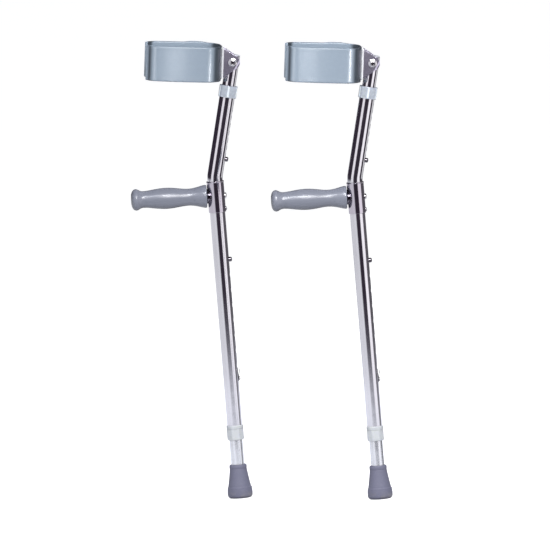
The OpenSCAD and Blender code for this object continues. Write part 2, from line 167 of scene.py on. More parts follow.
def revolve(profile, sides=96, matrix=LOWER, wobble=None):
    """Turns a closed or pole-to-pole list of (radius, z) about z."""
    pole = 1e-6
    rings = []
    for radius, z in profile:
        if radius < pole:
            rings.append([place(matrix, 0, 0, z)])
            continue
        ring = []
        for k in range(sides):
            a = 2 * math.pi * k / sides
            r = wobble(radius, z, a) if wobble else radius
            ring.append(place(matrix, r * math.cos(a), r * math.sin(a), z))
        rings.append(ring)
    return skin(rings, closed=profile[0][0] > pole and profile[-1][0] > pole)


def rod(matrix, z0, z1, radius, sides=32):
    return revolve([(0, z0), (radius, z0), (radius, z1), (0, z1)], sides, matrix)


def button_hole(base, z, surface, chamfer):
    """Cutter for a hole in the +X wall; it widens at 45 degrees near the surface radius."""
    top, flare, r = surface + 0.55, 0.6, BUTTON_HOLE_R
    bottom = 8 if surface == MAIN_R else 5
    profile = [(0, bottom), (r, bottom), (r, top - flare - chamfer), (r + chamfer, top - flare),
               (r + chamfer + flare, top), (0, top)]
    return revolve(profile, 32, along_x(base, z))


def sharpen(mesh, degrees):
    """Marks edges sharper than the angle, so that smooth shading stops there."""
    bm = bmesh.new()
    bm.from_mesh(mesh)
    limit = math.radians(degrees)
    for edge in bm.edges:
        if len(edge.link_faces) == 2 and edge.calc_face_angle(0) > limit:
            edge.smooth = False
    bm.to_mesh(mesh)
    bm.free()
    return mesh


def polish(mesh, radial, limit=0.82):
    """Gives faces lying round a centre line its exact radial normals; others keep their own."""
    sharpen(mesh, 32)
    mesh.update()
    normals = [tuple(c.vector) for c in mesh.corner_normals]
    for face in mesh.polygons:
        for loop in face.loop_indices:
            outward = radial(mesh.vertices[mesh.loops[loop].vertex_index].co)
            match = face.normal.dot(outward)
            if match > limit:
                normals[loop] = tuple(outward)
            elif match < -limit:
                normals[loop] = tuple(-outward)
    mesh.normals_split_custom_set(normals)
    return mesh


def radial_lower(point):
    return Vector((point.x, point.y, 0)).normalized()


def radial_upper(point):
    p = UPPER.inverted() @ point
    return (UPPER.to_3x3() @ Vector((p.x, p.y, 0))).normalized()


def radial_main(point):
    """Direction away from the bent tube's centre line."""
    if point.z <= BEND_Z * MM:
        return radial_lower(point)
    if (UPPER.inverted() @ point).z >= BEND_TANGENT * MM:
        return radial_upper(point)
    centre = Vector((BEND_R * MM, 0, BEND_Z * MM))
    spoke = Vector((point.x - centre.x, 0, point.z - centre.z)).normalized()
    return (point - (centre + spoke * BEND_R * MM)).normalized()


def fillet(points, radii, steps):
    """Rounds the corners of an (x, y) polyline with the given radii."""
    out = []
    for i, (point, radius) in enumerate(zip(points, radii)):
        if radius <= 0 or i in (0, len(points) - 1):
            out.append(tuple(point))
            continue
        corner = np.array(point, float)
        a = np.array(points[i - 1], float) - corner
        b = np.array(points[i + 1], float) - corner
        len_a, len_b = np.linalg.norm(a), np.linalg.norm(b)
        a, b = a / len_a, b / len_b
        angle = math.acos(float(a @ b))
        # no fillet takes more than half of a neighbouring side
        tangent = min(radius / math.tan(angle / 2), len_a * 0.49, len_b * 0.49)
        r = tangent * math.tan(angle / 2)
        centre = corner + (a + b) / np.linalg.norm(a + b) * (r / math.sin(angle / 2))
        start, end = corner + a * tangent - centre, corner + b * tangent - centre
        sweep = math.acos(float(start @ end) / (np.linalg.norm(start) * np.linalg.norm(end)))
        for k in range(steps + 1):
            w = k / steps
            spoke = start * math.sin((1 - w) * sweep) + end * math.sin(w * sweep)
            out.append(tuple(centre + spoke / math.sin(sweep)))
    return out


def catmull(stations, steps):
    """Smooth curve through the stations."""
    out = []
    last = len(stations) - 1
    for i in range(last):
        a, b, c, d = (np.array(stations[min(max(i + k, 0), last)], float) for k in (-1, 0, 1, 2))
        for k in range(steps):
            t = k / steps
            out.append(tuple(0.5 * (2 * b + (c - a) * t + (2 * a - 5 * b + 4 * c - d) * t * t
                                    + (3 * b - a - 3 * c + d) * t ** 3)))
    out.append(tuple(stations[-1]))
    return out


def corner_inset(distance, radius):
    """How far a rounded corner draws the side in, at a distance from the end."""
    if distance >= radius:
        return 0.0
    return radius - math.sqrt(max(0.0, radius ** 2 - (radius - distance) ** 2))


def strip(line, half_width, half_thick, edge, step, matrix=LOWER, corner=0.0):
    """Strip of rounded section swept along a list of (x, z); corner rounds its ends."""
    dense = [np.array(line[0], float)]
    for p, q in zip(line, line[1:]):
        p, q = np.array(p, float), np.array(q, float)
        count = max(1, int(np.linalg.norm(q - p) / step))
        dense += [p + (q - p) * k / count for k in range(1, count + 1)]
    lengths = [np.linalg.norm(q - p) for p, q in zip(dense, dense[1:])]
    run = np.concatenate([[0], np.cumsum(lengths)])
    rings = []
    for i, (x, z) in enumerate(dense):
        along = dense[min(i + 1, len(dense) - 1)] - dense[max(i - 1, 0)]
        along = along / np.linalg.norm(along)
        normal_x, normal_z = along[1], -along[0]
        width = half_width - corner_inset(min(run[i], run[-1] - run[i]), corner)
        ring = []
        for side_y, side_n, start in ((1, 1, 0), (-1, 1, 90), (-1, -1, 180), (1, -1, 270)):
            for k in range(4):
                a = math.radians(start + 30 * k)
                y = side_y * (width - edge) + edge * math.cos(a)
                d = side_n * (half_thick - edge) + edge * math.sin(a)
                ring.append(place(matrix, x + normal_x * d, y, z + normal_z * d))
        rings.append(ring)
    return skin(rings, closed=False, capped=True)


def join(meshes):
    bm = bmesh.new()
    for mesh in meshes:
        bm.from_mesh(mesh)
    joined = bpy.data.meshes.new("join")
    bm.to_mesh(joined)
    bm.free()
    return joined


def link_object(name, mesh):
    ob = bpy.data.objects.new(name, mesh)
    COLLECTION.objects.link(ob)
    return ob


def boolean(base, cutters, operation="DIFFERENCE"):
    ob = link_object("tmp", base)
    tools = [link_object("tmp", cutter) for cutter in cutters]
    for tool in tools:
        modifier = ob.modifiers.new("b", "BOOLEAN")
        modifier.operation, modifier.solver, modifier.object = operation, "EXACT", tool
    bpy.context.view_layer.update()
    depsgraph = bpy.context.evaluated_depsgraph_get()
    mesh = bpy.data.meshes.new_from_object(ob.evaluated_get(depsgraph))
    for used in [ob] + tools:
        bpy.data.objects.remove(used)
    bm = bmesh.new()
    bm.from_mesh(mesh)
    bmesh.ops.remove_doubles(bm, verts=bm.verts, dist=2e-6)
    bmesh.ops.dissolve_degenerate(bm, edges=bm.edges, dist=1e-7)
    bm.to_mesh(mesh)
    bm.free()
    mesh.polygons.foreach_set("use_smooth", [True] * len(mesh.polygons))
    return mesh


def pair(mesh, name, body, node, slot, material=None):
    """Puts one mesh on both crutches. It rides on the body and stands for the CAD node."""
    mesh.materials.clear()
    mesh.materials.append(MATERIALS[material or slot])
    for side in SIDES:
        full = f"{side}_{name}"
        ob = link_object(full + "_skin" if full in NODES else full, mesh)
        ob.location = OFFSET[side]
        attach(ob, f"{side}_{body}")
        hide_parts(f"{side}_{node}")


# ---------------------------------------------------------------- shader helpers
class Graph:
    """Builds nodes in a tree. Inputs may be numbers, colours or sockets."""

    def __init__(self, tree):
        self.tree = tree

    @cached_property
    def coords(self):
        return self.node("ShaderNodeTexCoord").outputs

    def feed(self, socket, value):
        if isinstance(value, bpy.types.NodeSocket):
            self.tree.links.new(value, socket)
        else:
            socket.default_value = value

    def node(self, kind, inputs=None, **settings):
        node = self.tree.nodes.new(kind)
        for key, value in settings.items():
            setattr(node, key, value)
        for key, value in (inputs or {}).items():
            self.feed(node.inputs[key], value)
        return node

    def calc(self, operation, *values):
        return self.node("ShaderNodeMath", dict(enumerate(values)), operation=operation).outputs[0]

    def invert(self, value):
        return self.calc("SUBTRACT", 1.0, value)

    def times(self, a, b):
        return self.calc("MULTIPLY", a, b)

    def vector(self, operation, inputs):
        return self.node("ShaderNodeVectorMath", inputs, operation=operation).outputs

    def remap(self, value, span, to=(0, 1), smooth=False):
        settings = {"interpolation_type": "SMOOTHSTEP"} if smooth else {}
        inputs = {"From Min": span[0], "From Max": span[1],
                  "To Min": to[0], "To Max": to[1], "Value": value}
        return self.node("ShaderNodeMapRange", inputs, **settings).outputs["Result"]

    def xyz(self, vector):
        return self.node("ShaderNodeSeparateXYZ", {0: vector}).outputs

    def length(self, x, y):
        return self.calc("SQRT", self.calc("ADD", self.calc("POWER", x, 2.0),
                                           self.calc("POWER", y, 2.0)))

    def azimuth(self, x, y):
        """Degrees round from -Y towards +X."""
        degrees_per_radian = 57.29578
        return self.times(self.calc("ARCTAN2", x, self.times(y, -1.0)), degrees_per_radian)

    def mix_shader(self, factor, first, second):
        return self.node("ShaderNodeMixShader", {0: factor, 1: first, 2: second}).outputs[0]


class Shader(Graph):
    """Builds on a material's Principled surface."""

    def __init__(self, material):
        super().__init__(material.node_tree)
        self.surface = self.tree.nodes["Principled BSDF"]

    def set(self, inputs):
        for name, value in inputs.items():
            self.feed(self.surface.inputs[name], value)

    def base_color(self):
        return self.surface.inputs["Base Color"].links[0].from_socket

    def noise(self, scale, detail=3, roughness=0.5, vector=None):
        inputs = {"Scale": scale, "Detail": detail, "Roughness": roughness,
                  "Vector": vector or self.coords["Object"]}
        return self.node("ShaderNodeTexNoise", inputs).outputs["Fac"]

    def mix(self, factor, a, b):
        return self.node("ShaderNodeMix", {0: factor, 6: a, 7: b}, data_type="RGBA").outputs[2]

    def bump(self, height, strength, distance):
        inputs = {"Strength": strength, "Distance": distance, "Height": height}
        return self.node("ShaderNodeBump", inputs).outputs["Normal"]

    def corner_shade(self, color, shade_color, distance, full_at, amount):
        """Mixes in painted shade where parts meet, from ambient occlusion, fullest below the given openness."""
        openness = self.node("ShaderNodeAmbientOcclusion", {"Distance": distance},
                             samples=6).outputs["AO"]
        return self.mix(self.remap(openness, span=(full_at, 0.95), to=(amount, 0)), color, shade_color)

    def tilted_x(self, x, z, lean):
        """x in a frame that leans towards +X."""
        return self.calc("SUBTRACT", self.times(x, math.cos(lean)), self.times(z, math.sin(lean)))

    def cuff_x(self):
        x, _, z = self.xyz(self.coords["Object"])
        return self.tilted_x(self.calc("SUBTRACT", x, PIVOT.x),
                             self.calc("SUBTRACT", z, PIVOT.z), CUFF_LEAN)


MATERIALS = {}


def new_shader(name):
    material = bpy.data.materials.new(name)
    material.use_nodes = True
    MATERIALS[name] = material
    return Shader(material)


def srgb(code):
    channels = [int(code[i:i + 2], 16) / 255 for i in (0, 2, 4)]
    return [c / 12.92 if c <= 0.04045 else ((c + 0.055) / 1.055) ** 2.4 for c in channels] + [1]


def shade(color, factor):
    return [c * factor for c in color[:3]] + [1]


# ---------------------------------------------------------------- metals
def metal(name, color, roughness, spread, drawn=False, bevel=0.0):
    """Metal with fine speckle or lines drawn along z, wiped smudges, and painted shade in corners."""
    s = new_shader(name)
    stretch = s.node("ShaderNodeMapping", {"Scale": (900, 900, 14 if drawn else 900),
                                           "Vector": s.coords["Object"]}).outputs["Vector"]
    fine = s.noise(scale=1, detail=4, roughness=0.6, vector=stretch)
    smudge = s.noise(scale=38, detail=4, roughness=0.6)
    broad = s.noise(scale=9, detail=2)
    rough = s.remap(smudge, span=(0.35, 0.75),
                    to=(roughness - spread * 0.5, roughness + spread * 1.6))
    rough = s.calc("ADD", rough, s.remap(fine, span=(0.3, 0.7), to=(-0.02, 0.03)))
    tone = s.mix(s.remap(broad, span=(0.35, 0.65)), color, shade(color, 0.9))
    # painted shade: darker where parts meet
    tone = s.corner_shade(tone, shade_color=(0.10, 0.09, 0.10, 1), distance=0.004, full_at=0.35, amount=0.35)
    normal = s.bump(fine, strength=0.05, distance=0.0004)
    if bevel:
        normal = s.node("ShaderNodeBevel", {"Radius": bevel, "Normal": normal},
                        samples=4).outputs["Normal"]
    s.set({"Base Color": tone, "Roughness": s.calc("MAXIMUM", rough, 0.02),
           "Metallic": 1.0, "Normal": normal})


def paint_bracket_highlight():
    """Painted highlight: near white and less metallic round the bends and across the bracket's -X face, grey on
    the ears.
    """
    s = Shader(MATERIALS["bracket_steel"])
    cloud = s.remap(s.noise(scale=90, roughness=0.6), span=(0.25, 0.5), to=(0.75, 1))
    # painted highlight mask round the bends and the -X face
    painted_highlight = s.times(s.remap(s.cuff_x(), span=(-0.0150, -0.0158), smooth=True), cloud)
    s.set({"Base Color": s.mix(painted_highlight, s.base_color(), (0.95, 0.96, 0.98, 1)),
           "Metallic": s.remap(painted_highlight, span=(0, 1), to=(0.84, 0.05))})


def paint_boss_shade():
    """Painted shade darkens the boss that stands out to -X from the sleeve."""
    s = Shader(MATERIALS["saddle_steel"])
    x, y, _ = s.xyz(s.coords["Object"])
    off_sleeve = s.remap(s.length(x, y), span=(0.01435, 0.0147), to=(0, 0.85), smooth=True)
    # painted shade mask on the boss
    scale = s.times(off_sleeve, s.remap(x, span=(-0.006, -0.010), smooth=True))
    s.set({"Base Color": s.mix(scale, s.base_color(), (0.10, 0.09, 0.12, 1))})


metal("polished_tube", (0.80, 0.79, 0.83, 1), roughness=0.10, spread=0.03, drawn=True)
metal("leg_aluminium", (0.86, 0.87, 0.90, 1), roughness=0.20, spread=0.05, drawn=True)
metal("chromed_steel", (0.80, 0.79, 0.81, 1), roughness=0.06, spread=0.03, bevel=0.0003)
metal("plated_steel", (0.74, 0.73, 0.75, 1), roughness=0.16, spread=0.06, bevel=0.0004)
metal("bracket_steel", (0.66, 0.63, 0.78, 1), roughness=0.16, spread=0.05)
paint_bracket_highlight()
metal("button_steel", (0.17, 0.16, 0.18, 1), roughness=0.12, spread=0.05)
metal("spring_steel", (0.50, 0.50, 0.52, 1), roughness=0.3, spread=0.08, bevel=0.0004)
metal("saddle_steel", (0.64, 0.60, 0.67, 1), roughness=0.09, spread=0.03)
paint_boss_shade()


# ---------------------------------------------------------------- vinyl, rubber and nylon
def sideways_facing(s):
    """Facing in plan only, for the painted shade, so that looking down on a wall does not darken it."""
    geometry = s.node("ShaderNodeNewGeometry").outputs
    flat = []
    for name in ("Normal", "Incoming"):
        plan = s.vector("MULTIPLY", {0: geometry[name], 1: (1, 1, 0)})[0]
        flat.append(s.vector("NORMALIZE", {0: plan})[0])
    dot = s.vector("DOT_PRODUCT", dict(enumerate(flat)))["Value"]
    return s.invert(s.calc("ABSOLUTE", dot))


def vinyl(name, base, dark, roughness, spread, bump, coat, turn_span, limb_shade_depth, cuff=False):
    """Soft skin with painted shade over turn_span, where it turns away from the view."""
    s = new_shader(name)
    broad = s.noise(scale=14, roughness=0.55)
    mottle = s.noise(scale=160, detail=2)
    pores = s.noise(scale=900, detail=2)
    peel = s.noise(scale=260, detail=2, roughness=0.4)
    color = s.mix(s.remap(broad, span=(0.3, 0.7), to=(0, 0.45)), base, dark)
    color = s.mix(s.remap(mottle, span=(0.35, 0.75), to=(0.0, 0.10)), color, shade(base, 1.25))
    # painted shade: darker where parts meet
    color = s.corner_shade(color, shade_color=shade(dark, 0.35), distance=0.006, full_at=0.3, amount=0.45)
    # rubbed edges go paler
    edges = s.node("ShaderNodeNewGeometry").outputs["Pointiness"]
    worn = s.times(s.remap(edges, span=(0.53, 0.60)), s.remap(mottle, span=(0.4, 0.65)))
    color = s.mix(s.times(worn, 0.35), color, shade(base, 1.5))
    if cuff:
        facing = sideways_facing(s)
    else:
        facing = s.node("ShaderNodeLayerWeight", {"Blend": 0.5}).outputs["Facing"]
    # painted shade: the colour darkens where the skin turns away from the view
    away = s.remap(facing, span=turn_span, to=(0, limb_shade_depth), smooth=True)
    if cuff:
        # the rolled beads down the lips get no painted shade, so they stay pale
        away = s.times(away, s.remap(s.cuff_x(), span=(-0.1425, -0.1395), smooth=True))
    skin_height = s.calc("ADD", s.times(peel, 0.7), s.times(pores, 0.3))
    s.set({
        "Base Color": s.mix(away, color, shade(dark, 0.10)),
        "Roughness": s.remap(mottle, span=(0.3, 0.7), to=(roughness - spread, roughness + spread)),
        "Normal": s.bump(skin_height, strength=bump, distance=0.0004),
        "IOR": 1.5, "Coat Weight": coat, "Coat Roughness": 0.18})


def rubber():
    """Mottled rubber, dusty near the floor."""
    s = new_shader("tip_rubber")
    broad = s.noise(scale=22, roughness=0.6)
    mottle = s.noise(scale=420, detail=5, roughness=0.65)
    dust = s.noise(scale=75, detail=4, roughness=0.6)
    color = s.mix(s.remap(broad, span=(0.3, 0.7), to=(0, 0.5)), srgb("7c7d93"), srgb("6d6e86"))
    color = s.mix(s.remap(mottle, span=(0.45, 0.75), to=(0, 0.35)), color, srgb("9091a7"))
    low = s.remap(s.xyz(s.coords["Object"])[2], span=(0.002, 0.016), to=(1, 0), smooth=True)
    dusty = s.times(s.times(low, s.remap(dust, span=(0.45, 0.62))), 0.45)
    color = s.mix(dusty, color, srgb("a09c9c"))
    # the base colour takes painted shade where parts meet
    s.set({
        "Base Color": s.corner_shade(color, shade_color=(0.05, 0.05, 0.06, 1), distance=0.005,
                              full_at=0.3, amount=0.5),
        "Roughness": s.remap(mottle, span=(0.3, 0.7), to=(0.48, 0.66)),
        "Normal": s.bump(mottle, strength=0.22, distance=0.0003),
        "Sheen Weight": 0.08})


def nylon(name, base):
    s = new_shader(name)
    mottle = s.noise(scale=120, roughness=0.6)
    cloud = s.noise(scale=40)
    s.set({
        "Base Color": s.mix(s.remap(cloud, span=(0.3, 0.7), to=(0, 0.5)), base, shade(base, 0.90)),
        "Roughness": s.remap(mottle, span=(0.3, 0.7), to=(0.24, 0.38)),
        "Subsurface Weight": 0.35, "Subsurface Radius": (0.004, 0.004, 0.005),
        "Subsurface Scale": 1.0, "IOR": 1.5,
        "Normal": s.bump(s.noise(scale=500, detail=2), strength=0.08, distance=0.0003)})


def paint_upper_nut_light():
    """Painted highlights in the upper nut's corners and painted shade on its -X side."""
    s = Shader(MATERIALS["nylon_shaded"])
    x, y, z = s.xyz(s.coords["Object"])
    across = s.tilted_x(x, s.calc("SUBTRACT", z, CORNER_Z), LEAN)
    streak = s.remap(s.noise(scale=260, detail=2), span=(0.3, 0.7), to=(0.0, 0.5))
    color = s.mix(streak, s.base_color(), (0.60, 0.66, 0.76, 1))
    # painted shade on the -X side
    shadow = s.remap(across, span=(-0.0135, -0.009), to=(0.55, 0), smooth=True)
    color = s.mix(shadow, color, (0.16, 0.18, 0.24, 1))
    # painted highlight in the corners
    corner = s.remap(s.length(across, y), span=(0.0158, 0.0165), smooth=True)
    s.set({"Base Color": s.mix(corner, color, (0.84, 0.92, 1.0, 1))})


vinyl("cuff_vinyl", srgb("93a1b0"), srgb("8c9aaa"), roughness=0.25, spread=0.008, bump=0.010,
      coat=0.12, turn_span=(0.10, 0.32), limb_shade_depth=0.85, cuff=True)
vinyl("grip_vinyl", srgb("898d9b"), srgb("7f8391"), roughness=0.30, spread=0.03, bump=0.10,
      coat=0.15, turn_span=(0.5, 0.95), limb_shade_depth=0.6)
rubber()
nylon("nylon", (0.76, 0.80, 0.86, 1))
# darker copy of the same nylon: painted shade for the upper nut
nylon("nylon_shaded", (0.43, 0.47, 0.54, 1))
paint_upper_nut_light()
nylon("plug_nylon", (0.60, 0.62, 0.68, 1))

# the CAD pieces take the material named by their slot
SLOT_OF = {part["node"]: part["material_slot"] for part in RECORD["subparts"]}
for node_name, node_object in NODES.items():
    node_object.data.materials.clear()
    node_object.data.materials.append(MATERIALS[SLOT_OF[node_name]])


# ---------------------------------------------------------------- outer tube
def bent_tube(sides=96):
    """Hollow bent tube with softly broken edges at both ends."""
    broken = 0.35
    stations = [at(0, 0, MAIN_Z0 + broken)]
    stations += [at(0, 0, z) for z in np.linspace(MAIN_Z0 + 14, BEND_Z, 34)]
    for k in range(1, 15):
        a = LEAN * k / 14
        x, z = BEND_R * MM * (1 - math.cos(a)), (BEND_Z + BEND_R * math.sin(a)) * MM
        stations.append(Matrix.Translation((x, 0, z)) @ turn(a, "Y"))
    heights = list(np.linspace(BEND_TANGENT + 6, UPPER_LEN - 12, 12)) + [UPPER_LEN - broken]
    stations += [UPPER @ at(0, 0, z) for z in heights]
    first, last = stations[0] @ at(0, 0, -broken), stations[-1] @ at(0, 0, broken)
    loops = [(first, MAIN_R - broken)] + [(m, MAIN_R) for m in stations]
    loops += [(last, MAIN_R - broken), (last, MAIN_BORE + broken)]
    loops += [(m, MAIN_BORE) for m in reversed(stations)] + [(first, MAIN_BORE + broken)]
    angles = [2 * math.pi * k / sides for k in range(sides)]
    return skin([[place(m, r * math.cos(a), r * math.sin(a), 0) for a in angles]
                 for m, r in loops], closed=True)


def main_tube():
    holes = [button_hole(LOWER, LEG_HOLE_Z - LEG_PITCH * k, MAIN_R, chamfer=0.25)
             for k in range(LEG_HOLES)]
    holes += [button_hole(UPPER, CUFF_HOLE_Z + CUFF_PITCH * k, MAIN_R, chamfer=0.25)
              for k in range(CUFF_HOLES)]
    holes.append(rod(GRIP, -15, 15, BOLT_HOLE_R))
    holes += [rod(along_x(LOWER, z), 8, 15, RIVET_HOLE_R) for z in (RIVET_Z, CLIP_RIVET_Z)]
    return polish(boolean(bent_tube(), [join(holes)]), radial_main)


pair(main_tube(), "tube", "frame", "main_tube", "polished_tube")


# ---------------------------------------------------------------- saddle with the grip's boss
def weld_bead(around=96, sides=10):
    """Rippled bead where the boss meets the sleeve."""
    grip_z = GRIP_Z * 1000
    rings = []
    for i in range(around):
        a = 2 * math.pi * i / around
        y, z = BOSS_R * math.cos(a), grip_z + BOSS_R * math.sin(a)
        x = -math.sqrt(SADDLE_R * SADDLE_R - y * y)
        centre = Vector((x, y, z))
        from_boss = Vector((0, math.cos(a), math.sin(a)))
        out = Vector((x, y, 0)).normalized()
        r = 1.15 + 0.12 * math.sin(a * 17) + 0.06 * math.sin(a * 29 + 1)
        ring = []
        for k in range(sides):
            b = 2 * math.pi * k / sides
            ring.append((centre + from_boss * (r * math.cos(b)) + out * (r * math.sin(b))
                         + out * 0.1) * MM)
        rings.append(ring)
    return skin(rings, closed=True)


def saddle():
    r = SADDLE_R
    # (radius, height above the lower end)
    sleeve = [
        (SADDLE_BORE, 0), (13.6, 0), (14.0, 0.15), (r, 0.5), (r, 16), (r, 38), (r, 50.0),
        (r + 0.12, 50.4), (r + 0.42, 50.75), (r + 0.55, 51.2), (r + 0.45, 51.7),
        (r + 0.1, 51.95), (13.6, SADDLE_LEN), (12.9, 51.95), (SADDLE_BORE, 51.7)]
    # (radius, distance along the grip's axis)
    boss = [(0, 6), (BOSS_R, 6), (BOSS_R, 14.75), (10.85, 15.2), (10.5, 15.5), (10.1, 15.55),
            (0, 15.55)]
    mesh = revolve([(radius, SADDLE_Z0 + z) for radius, z in sleeve], 128)
    mesh = boolean(mesh, [revolve(boss, 96, GRIP)], "UNION")
    mesh = boolean(mesh, [weld_bead()], "UNION")
    mesh = boolean(mesh, [rod(LOWER, SADDLE_Z0 - 1, SADDLE_Z0 + SADDLE_LEN + 1, SADDLE_BORE, 128)])
    mesh = boolean(mesh, [rod(GRIP, 10, 17, BOLT_HOLE_R), rod(GRIP, -17, -9, BOLT_HOLE_R),
                          rod(along_x(LOWER, RIVET_Z), 8, 20, RIVET_HOLE_R)])
    return polish(mesh, radial_lower, 0.985)


pair(saddle(), "saddle", "frame", "handle_saddle", "chromed_steel", "saddle_steel")


# ---------------------------------------------------------------- hand grip
GRIP_START = 15.7                      # inner end of the grip, along its axis
# (distance from that end, radius)
GRIP_STATIONS = [
    (1.6, 19.0), (5, 18.7), (11, 17.3), (18, 15.5), (27.4, 14.1), (36, 14.2), (45, 15.3),
    (54, 16.6), (63.9, 17.4), (74, 17.3), (84, 16.3), (95, 14.7), (104.5, 13.8), (109, 14.3),
    (112.5, 15.8), (115.2, 17.3), (117.3, 17.8), (119.8, 17.4), (122.2, 15.9), (124, 13.4),
    (125, 10.8), (125.3, 9.9)]


def hand_grip():
    outer = [(r, z) for z, r in catmull(GRIP_STATIONS, 5)]
    bore = [(0, 120.3), (9.6, 120.3), (9.6, 0.9), (10.2, 0.0), (17.2, 0.0), (18.4, 0.45)]
    end = [(8.8, 125.55), (7.9, 125.5), (7.2, 125.62), (4, 125.9), (0, 126.0)]

    def parting_line(r, z, a):
        """Raises the mould's parting line on the grip's two sides at sin(a) = 0."""
        if r < 10.5 or z < 1.0:
            return r
        return r + 0.14 * math.exp(-(math.sin(a) / 0.02) ** 2)
    return revolve(bore + outer + end, 160, GRIP @ at(0, 0, GRIP_START), wobble=parting_line)


pair(hand_grip(), "grip", "frame", "hand_grip", "grip_vinyl")


# ---------------------------------------------------------------- grip bolt, rivets and clip
def hex_prism(matrix, z0, z1, across_flats):
    r = across_flats / 2 / math.cos(math.pi / 6)
    verts = [matrix @ (Vector((r * math.cos(math.pi / 3 * k), r * math.sin(math.pi / 3 * k), z))
                       * MM) for z in (z0, z1) for k in range(6)]
    faces = [tuple(range(5, -1, -1)), tuple(range(6, 12))]
    faces += [(k, (k + 1) % 6, (k + 1) % 6 + 6, k + 6) for k in range(6)]
    return mesh_from(verts, faces)


def handle_bolt():
    """Bolt along the grip's axis, its domed hex-socket head on the +X side."""
    matrix = GRIP @ turn(math.pi, "X")
    # (radius, height above the saddle's surface)
    head = [(2.95, 0.1), (5.0, 0.1), (5.0, 1.0), (4.85, 1.5), (4.4, 2.1), (3.7, 2.65),
            (3.0, 2.95), (2.3, 3.0), (0, 3.0)]
    profile = [(0, -31), (2.6, -31), (2.95, -30.6)] + [(r, SADDLE_R + z) for r, z in head]
    socket = hex_prism(matrix, SADDLE_R + 1.4, SADDLE_R + 4, across_flats=3.0)
    return sharpen(boolean(revolve(profile, 64, matrix), [socket]), 32)


def blind_rivet(x, z, tail):
    """Rivet pointing to +X, with its head's underside at x."""
    # (radius, height)
    head = [(3.6, 0), (3.6, 0.3), (3.5, 0.6), (3.2, 1.05), (2.7, 1.5), (2.1, 1.85),
            (1.5, 2.05), (1.15, 2.1), (1.05, 1.9), (0.95, 1.85), (0, 1.95)]
    shank = [(0, x - tail), (1.9, x - tail), (2.0, x - tail + 0.2), (2.0, x)]
    return revolve(shank + [(r, x + h) for r, h in head], 48, along_x(LOWER, z))


def stop_clip():
    """Spring clip riveted to the tube's +X side; its upper part stands away."""
    x, lift = MAIN_R + 0.52, 2.58
    points = [(x, 0.0), (x, 8.3), (x + lift, 20.5), (x + lift, 21.1)]
    line = fillet([(px, CLIP_Z + pz) for px, pz in points], [0, 3.0, 0.8, 0], 6)
    mesh = strip(line, half_width=4.0, half_thick=0.5, edge=0.22, step=1.2, corner=1.5)
    return sharpen(boolean(mesh, [rod(along_x(LOWER, CLIP_RIVET_Z), 5, 20, RIVET_HOLE_R)]), 35)


pair(handle_bolt(), "handle_bolt", "frame", "handle_bolt", "plated_steel", "chromed_steel")
pair(sharpen(join([blind_rivet(SADDLE_R + 0.03, RIVET_Z, tail=4.2),
                   blind_rivet(MAIN_R + 1.05, CLIP_RIVET_Z, tail=2.4)]), 40),
     "rivets", "frame", "frame_rivets", "plated_steel")
pair(stop_clip(), "clip", "frame", "stop_clip", "plated_steel")


# ---------------------------------------------------------------- nylon sleeve and lock nuts
NUT_SEAT_R = 11.32                     # bore that closes on the inner tube


def lower_sleeve():
    # (radius, height from the outer tube's lower end); grooves of 0.35 mm ring the skirt
    skirt = [(11.25, -13.2), (11.5, -13.5), (12.3, -13.5), (12.55, -13.2)]
    skirt += [(12.55 - (0.35 if k % 4 in (1, 2) else 0), -12.8 + k * 0.5) for k in range(20)]
    collar = [(12.55, -1.8), (13.2, -1.8), (13.7, -1.65), (13.95, -1.3), (14, -0.9), (14, 3.4),
              (13.9, 3.95), (13.6, 4.4), (13.2, 4.6), (12.76, 4.6), (12.76, 0.05), (11.25, 0.05)]
    return sharpen(revolve([(r, MAIN_Z0 + z) for r, z in skirt + collar]), 40)


def nut(sides, half_flats, first_corner, cap, bore, matrix):
    """Soft-cornered prism kept inside the cap profile, with a bore; both are (radius, z)."""
    power = 64                         # sharpness of the corners
    count = sides * 24
    angles = [2 * math.pi * k / count for k in range(count)]

    def radius_at(a, r):
        total = (1.0 / r) ** power
        for q in range(sides):
            c = math.cos(a - first_corner - 2 * math.pi * (q + 0.5) / sides)
            if c > 0:
                total += (c / half_flats) ** power
        return total ** (-1.0 / power)
    polar = [[(radius_at(a, r), a, z) for a in angles] for r, z in cap]
    polar += [[(r, a, z) for a in angles] for r, z in bore]
    rings = [[place(matrix, r * math.cos(a), r * math.sin(a), z) for r, a, z in ring]
             for ring in polar]
    return sharpen(skin(rings, closed=True), 30)


def lower_nut():
    cap = fillet([(12.4, 0), (13.6, 0), (15, 1.4), (15, 16.3), (14.2, 17.5), (13.4, 17.5)],
                 [0, 0.4, 0.5, 0.5, 0.4, 0], 4)
    bore = [(12.62, 17.5), (12.62, 2.3), (NUT_SEAT_R, 2.3), (NUT_SEAT_R, 0)]
    return nut(8, 13.8, -math.pi / 8, cap, bore, at(0, 0, MAIN_Z0 - 19.5))


def upper_nut():
    cap = fillet([(12.5, 0), (15.4, 0), (17.2, 1.8), (17.2, 17.6), (15.4, 19.4), (13.2, 19.4)],
                 [0, 0.5, 0.8, 0.8, 0.5, 0], 4)[1:]
    bore = [(12.4, 19.4), (NUT_SEAT_R, 19.0), (NUT_SEAT_R, 16.7), (13.62, 16.7), (13.62, 0)]
    return nut(6, 14.7, -math.pi / 6, cap, bore, UPPER @ at(0, 0, UPPER_LEN - 10.6))


pair(lower_sleeve(), "lower_sleeve", "frame", "lower_sleeve", "nylon")
pair(lower_nut(), "lower_nut", "lower_nut", "lower_lock_nut", "nylon")
pair(upper_nut(), "upper_nut", "upper_nut", "upper_lock_nut", "nylon", "nylon_shaded")


